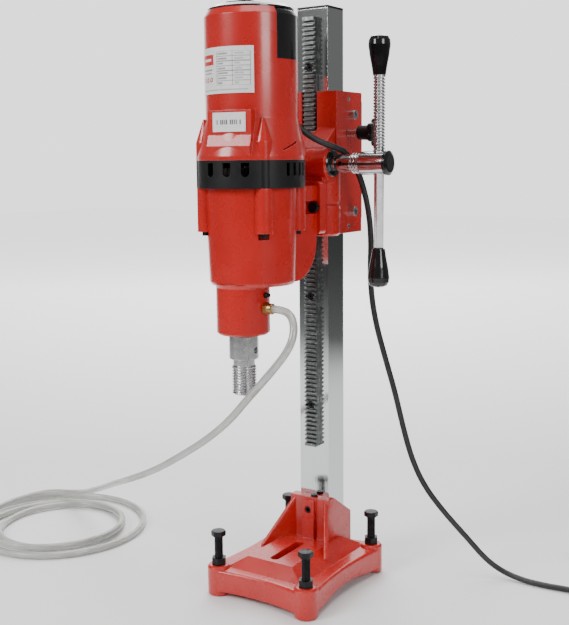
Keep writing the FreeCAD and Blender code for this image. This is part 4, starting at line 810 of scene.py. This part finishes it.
class RIG_OT_stage(bpy.types.Operator):
    """Sets the floor (pale paper near the rig, with painted light and painted shade beyond it), the
    soft lights and the camera
    """
    bl_idname = "rig.stage"
    bl_label = "Stage"

    def execute(self, context):
        half, drop = 9, -0.0004
        corners = [(-half, -half, drop), (half, -half, drop), (half, half, drop), (-half, half, drop)]
        floor = put_mesh("studio_floor", np.array(corners, float), np.array([[0, 1, 2, 3]]))
        floor.data.materials.append(self.paper())
        self.world(context)
        self.lamp("key", (-1.1, -2.3, 1.9), (0, 0, 0.45), 1.1, 62)
        self.lamp("fill", (2.3, -0.9, 1.3), (0, 0, 0.4), 0.9, 26)
        self.lamp("top", (0.1, 0.1, 2.8), (0, 0, 0), 1.8, 46)
        self.lamp("back", (-1.3, 2.0, 2.4), (-0.9, 1.6, 0), 2.2, 90)
        self.camera(context)
        return {"FINISHED"}

    def paper(self):
        """White paper near the rig. Beyond it, in a widening band, the paper carries painted light: it
        emits light though it is no lamp. Elsewhere its base colour is painted dark shade.
        The band lies along AHEAD, so the floor is plain only near the rig and from the main side."""
        white = (0.86, 0.86, 0.86)
        look = Finish("studio_paper", white, 0.0, 0.75)
        flat = self.vector(look, "MULTIPLY", look.where, (1, 1, 0)).outputs[0]
        away = self.vector(look, "DOT_PRODUCT", flat, AHEAD).outputs["Value"]
        aside = self.vector(look, "DOT_PRODUCT", flat, ASIDE).outputs["Value"]
        band_growth, band_half = 0.30, 0.75
        half = look.math("MULTIPLY_ADD", away, band_growth)
        half.node.inputs[2].default_value = band_half
        spill = look.math("SUBTRACT", look.math("ABSOLUTE", aside), half)
        inside = look.span(spill, 1.0, 0.0, 0.0, 0.5)
        painted_glow = look.math("MULTIPLY", look.span(away, 0.0, 1.5, 0.6, 3.4), inside)
        # painted light: emission that grows with distance inside the band along AHEAD, so the paper
        # shines though it is no lamp
        look.link(painted_glow, "Emission Strength")
        look.set("Emission Color", (1, 1, 1, 1))
        # painted shade: between 1.2 and 2.0 m out, and outside the lit band, the base colour turns
        # from white to dark grey (0.10)
        distance = self.vector(look, "LENGTH", flat).outputs["Value"]
        lit = look.math("MULTIPLY", inside, look.span(away, 0, 1, -0.2, 0.3))
        edge = look.math("MULTIPLY", look.span(distance, 0.0, 1.0, 1.2, 2.0),
                         look.math("SUBTRACT", 1.0, lit))
        look.link(look.blend(edge, (*white, 1), (0.10, 0.10, 0.10, 1)), "Base Color")
        return look.material

    def vector(self, look, operation, *inputs):
        """One sum on vectors."""
        return look.add("ShaderNodeVectorMath", dict(enumerate(inputs)), operation=operation)

    def world(self, context):
        """Bright along AHEAD and dim elsewhere, so that bright metal has something to mirror."""
        world = bpy.data.worlds.new("studio")
        world.use_nodes = True
        nodes, links = world.node_tree.nodes, world.node_tree.links
        nodes.clear()
        out = nodes.new("ShaderNodeOutputWorld")
        light = nodes.new("ShaderNodeBackground")
        where = nodes.new("ShaderNodeTexCoord")
        facing = nodes.new("ShaderNodeVectorMath")
        facing.operation = "DOT_PRODUCT"
        facing.inputs[1].default_value = AHEAD
        level = nodes.new("ShaderNodeMapRange")
        level.interpolation_type = "SMOOTHSTEP"
        for name, value in {"From Min": 0.72, "From Max": 0.92, "To Min": 0.26, "To Max": 2.4}.items():
            level.inputs[name].default_value = value
        links.new(where.outputs["Generated"], facing.inputs[0])
        links.new(facing.outputs["Value"], level.inputs["Value"])
        links.new(level.outputs["Result"], light.inputs["Strength"])
        links.new(light.outputs[0], out.inputs["Surface"])
        context.scene.world = world

    def lamp(self, name, where, target, size, power):
        """A square area light that faces its target; size in metres, power in watts."""
        light = bpy.data.lights.new(name, "AREA")
        light.shape, light.size, light.energy = "SQUARE", size, power
        item = bpy.data.objects.new(name, light)
        item.location = where
        item.rotation_euler = (Vector(target) - Vector(where)).to_track_quat("-Z", "Y").to_euler()
        bpy.context.scene.collection.objects.link(item)

    def camera(self, context):
        """Stands right of the drill's front, a little above its middle, looking slightly down."""
        yaw, pitch, roll = math.radians(33.42), math.radians(8.58), math.radians(-0.56)
        level = math.cos(pitch)
        back = Vector((math.sin(yaw) * level, -math.cos(yaw) * level, math.sin(pitch)))
        right = Vector((math.cos(yaw), math.sin(yaw), 0))
        up = back.cross(right)
        across = right * math.cos(roll) + up * math.sin(roll)
        upward = up * math.cos(roll) - right * math.sin(roll)
        data = bpy.data.cameras.new("camera")
        data.sensor_width, data.lens = 36, 57.26
        data.clip_start, data.clip_end = 0.05, 50
        item = bpy.data.objects.new("camera", data)
        spot = Vector(place(733.75, -1208.58, 593.85))
        turn = Matrix((across, upward, back)).transposed().to_4x4()
        item.matrix_world = Matrix.Translation(spot) @ turn
        context.scene.collection.objects.link(item)
        context.scene.camera = item


class RIG_PT_sidebar(bpy.types.Panel):
    """Lists the steps that make the rig's looks"""
    bl_idname = "RIG_PT_sidebar"
    bl_label = "Core drill rig"
    bl_space_type = "VIEW_3D"
    bl_region_type = "UI"
    bl_category = "Core drill"

    def draw(self, context):
        for name in ("enamel", "enamel_gloss", "cord_colour", "hose_colour", "nose_pitch", "bar_pitch",
                     "screw_pitch", "round_sides"):
            self.layout.prop(context.scene.rig_finish, name)
        for step in STEPS:
            self.layout.operator(step.bl_idname)


STEPS = (RIG_OT_stage, RIG_OT_finishes, RIG_OT_hose, RIG_OT_cord, RIG_OT_threads, RIG_OT_labels,
         RIG_OT_relief, RIG_OT_knob_stud)
CLASSES = (RigFinish, *STEPS, RIG_PT_sidebar)


def register():
    for item in CLASSES:
        bpy.utils.register_class(item)
    bpy.types.Scene.rig_finish = PointerProperty(type=RigFinish)


def unregister():
    del bpy.types.Scene.rig_finish
    for item in reversed(CLASSES):
        bpy.utils.unregister_class(item)


def main():
    register()
    for step in STEPS:
        group, name = step.bl_idname.split(".")
        getattr(getattr(bpy.ops, group), name)()


if __name__ == "__main__":
    main()
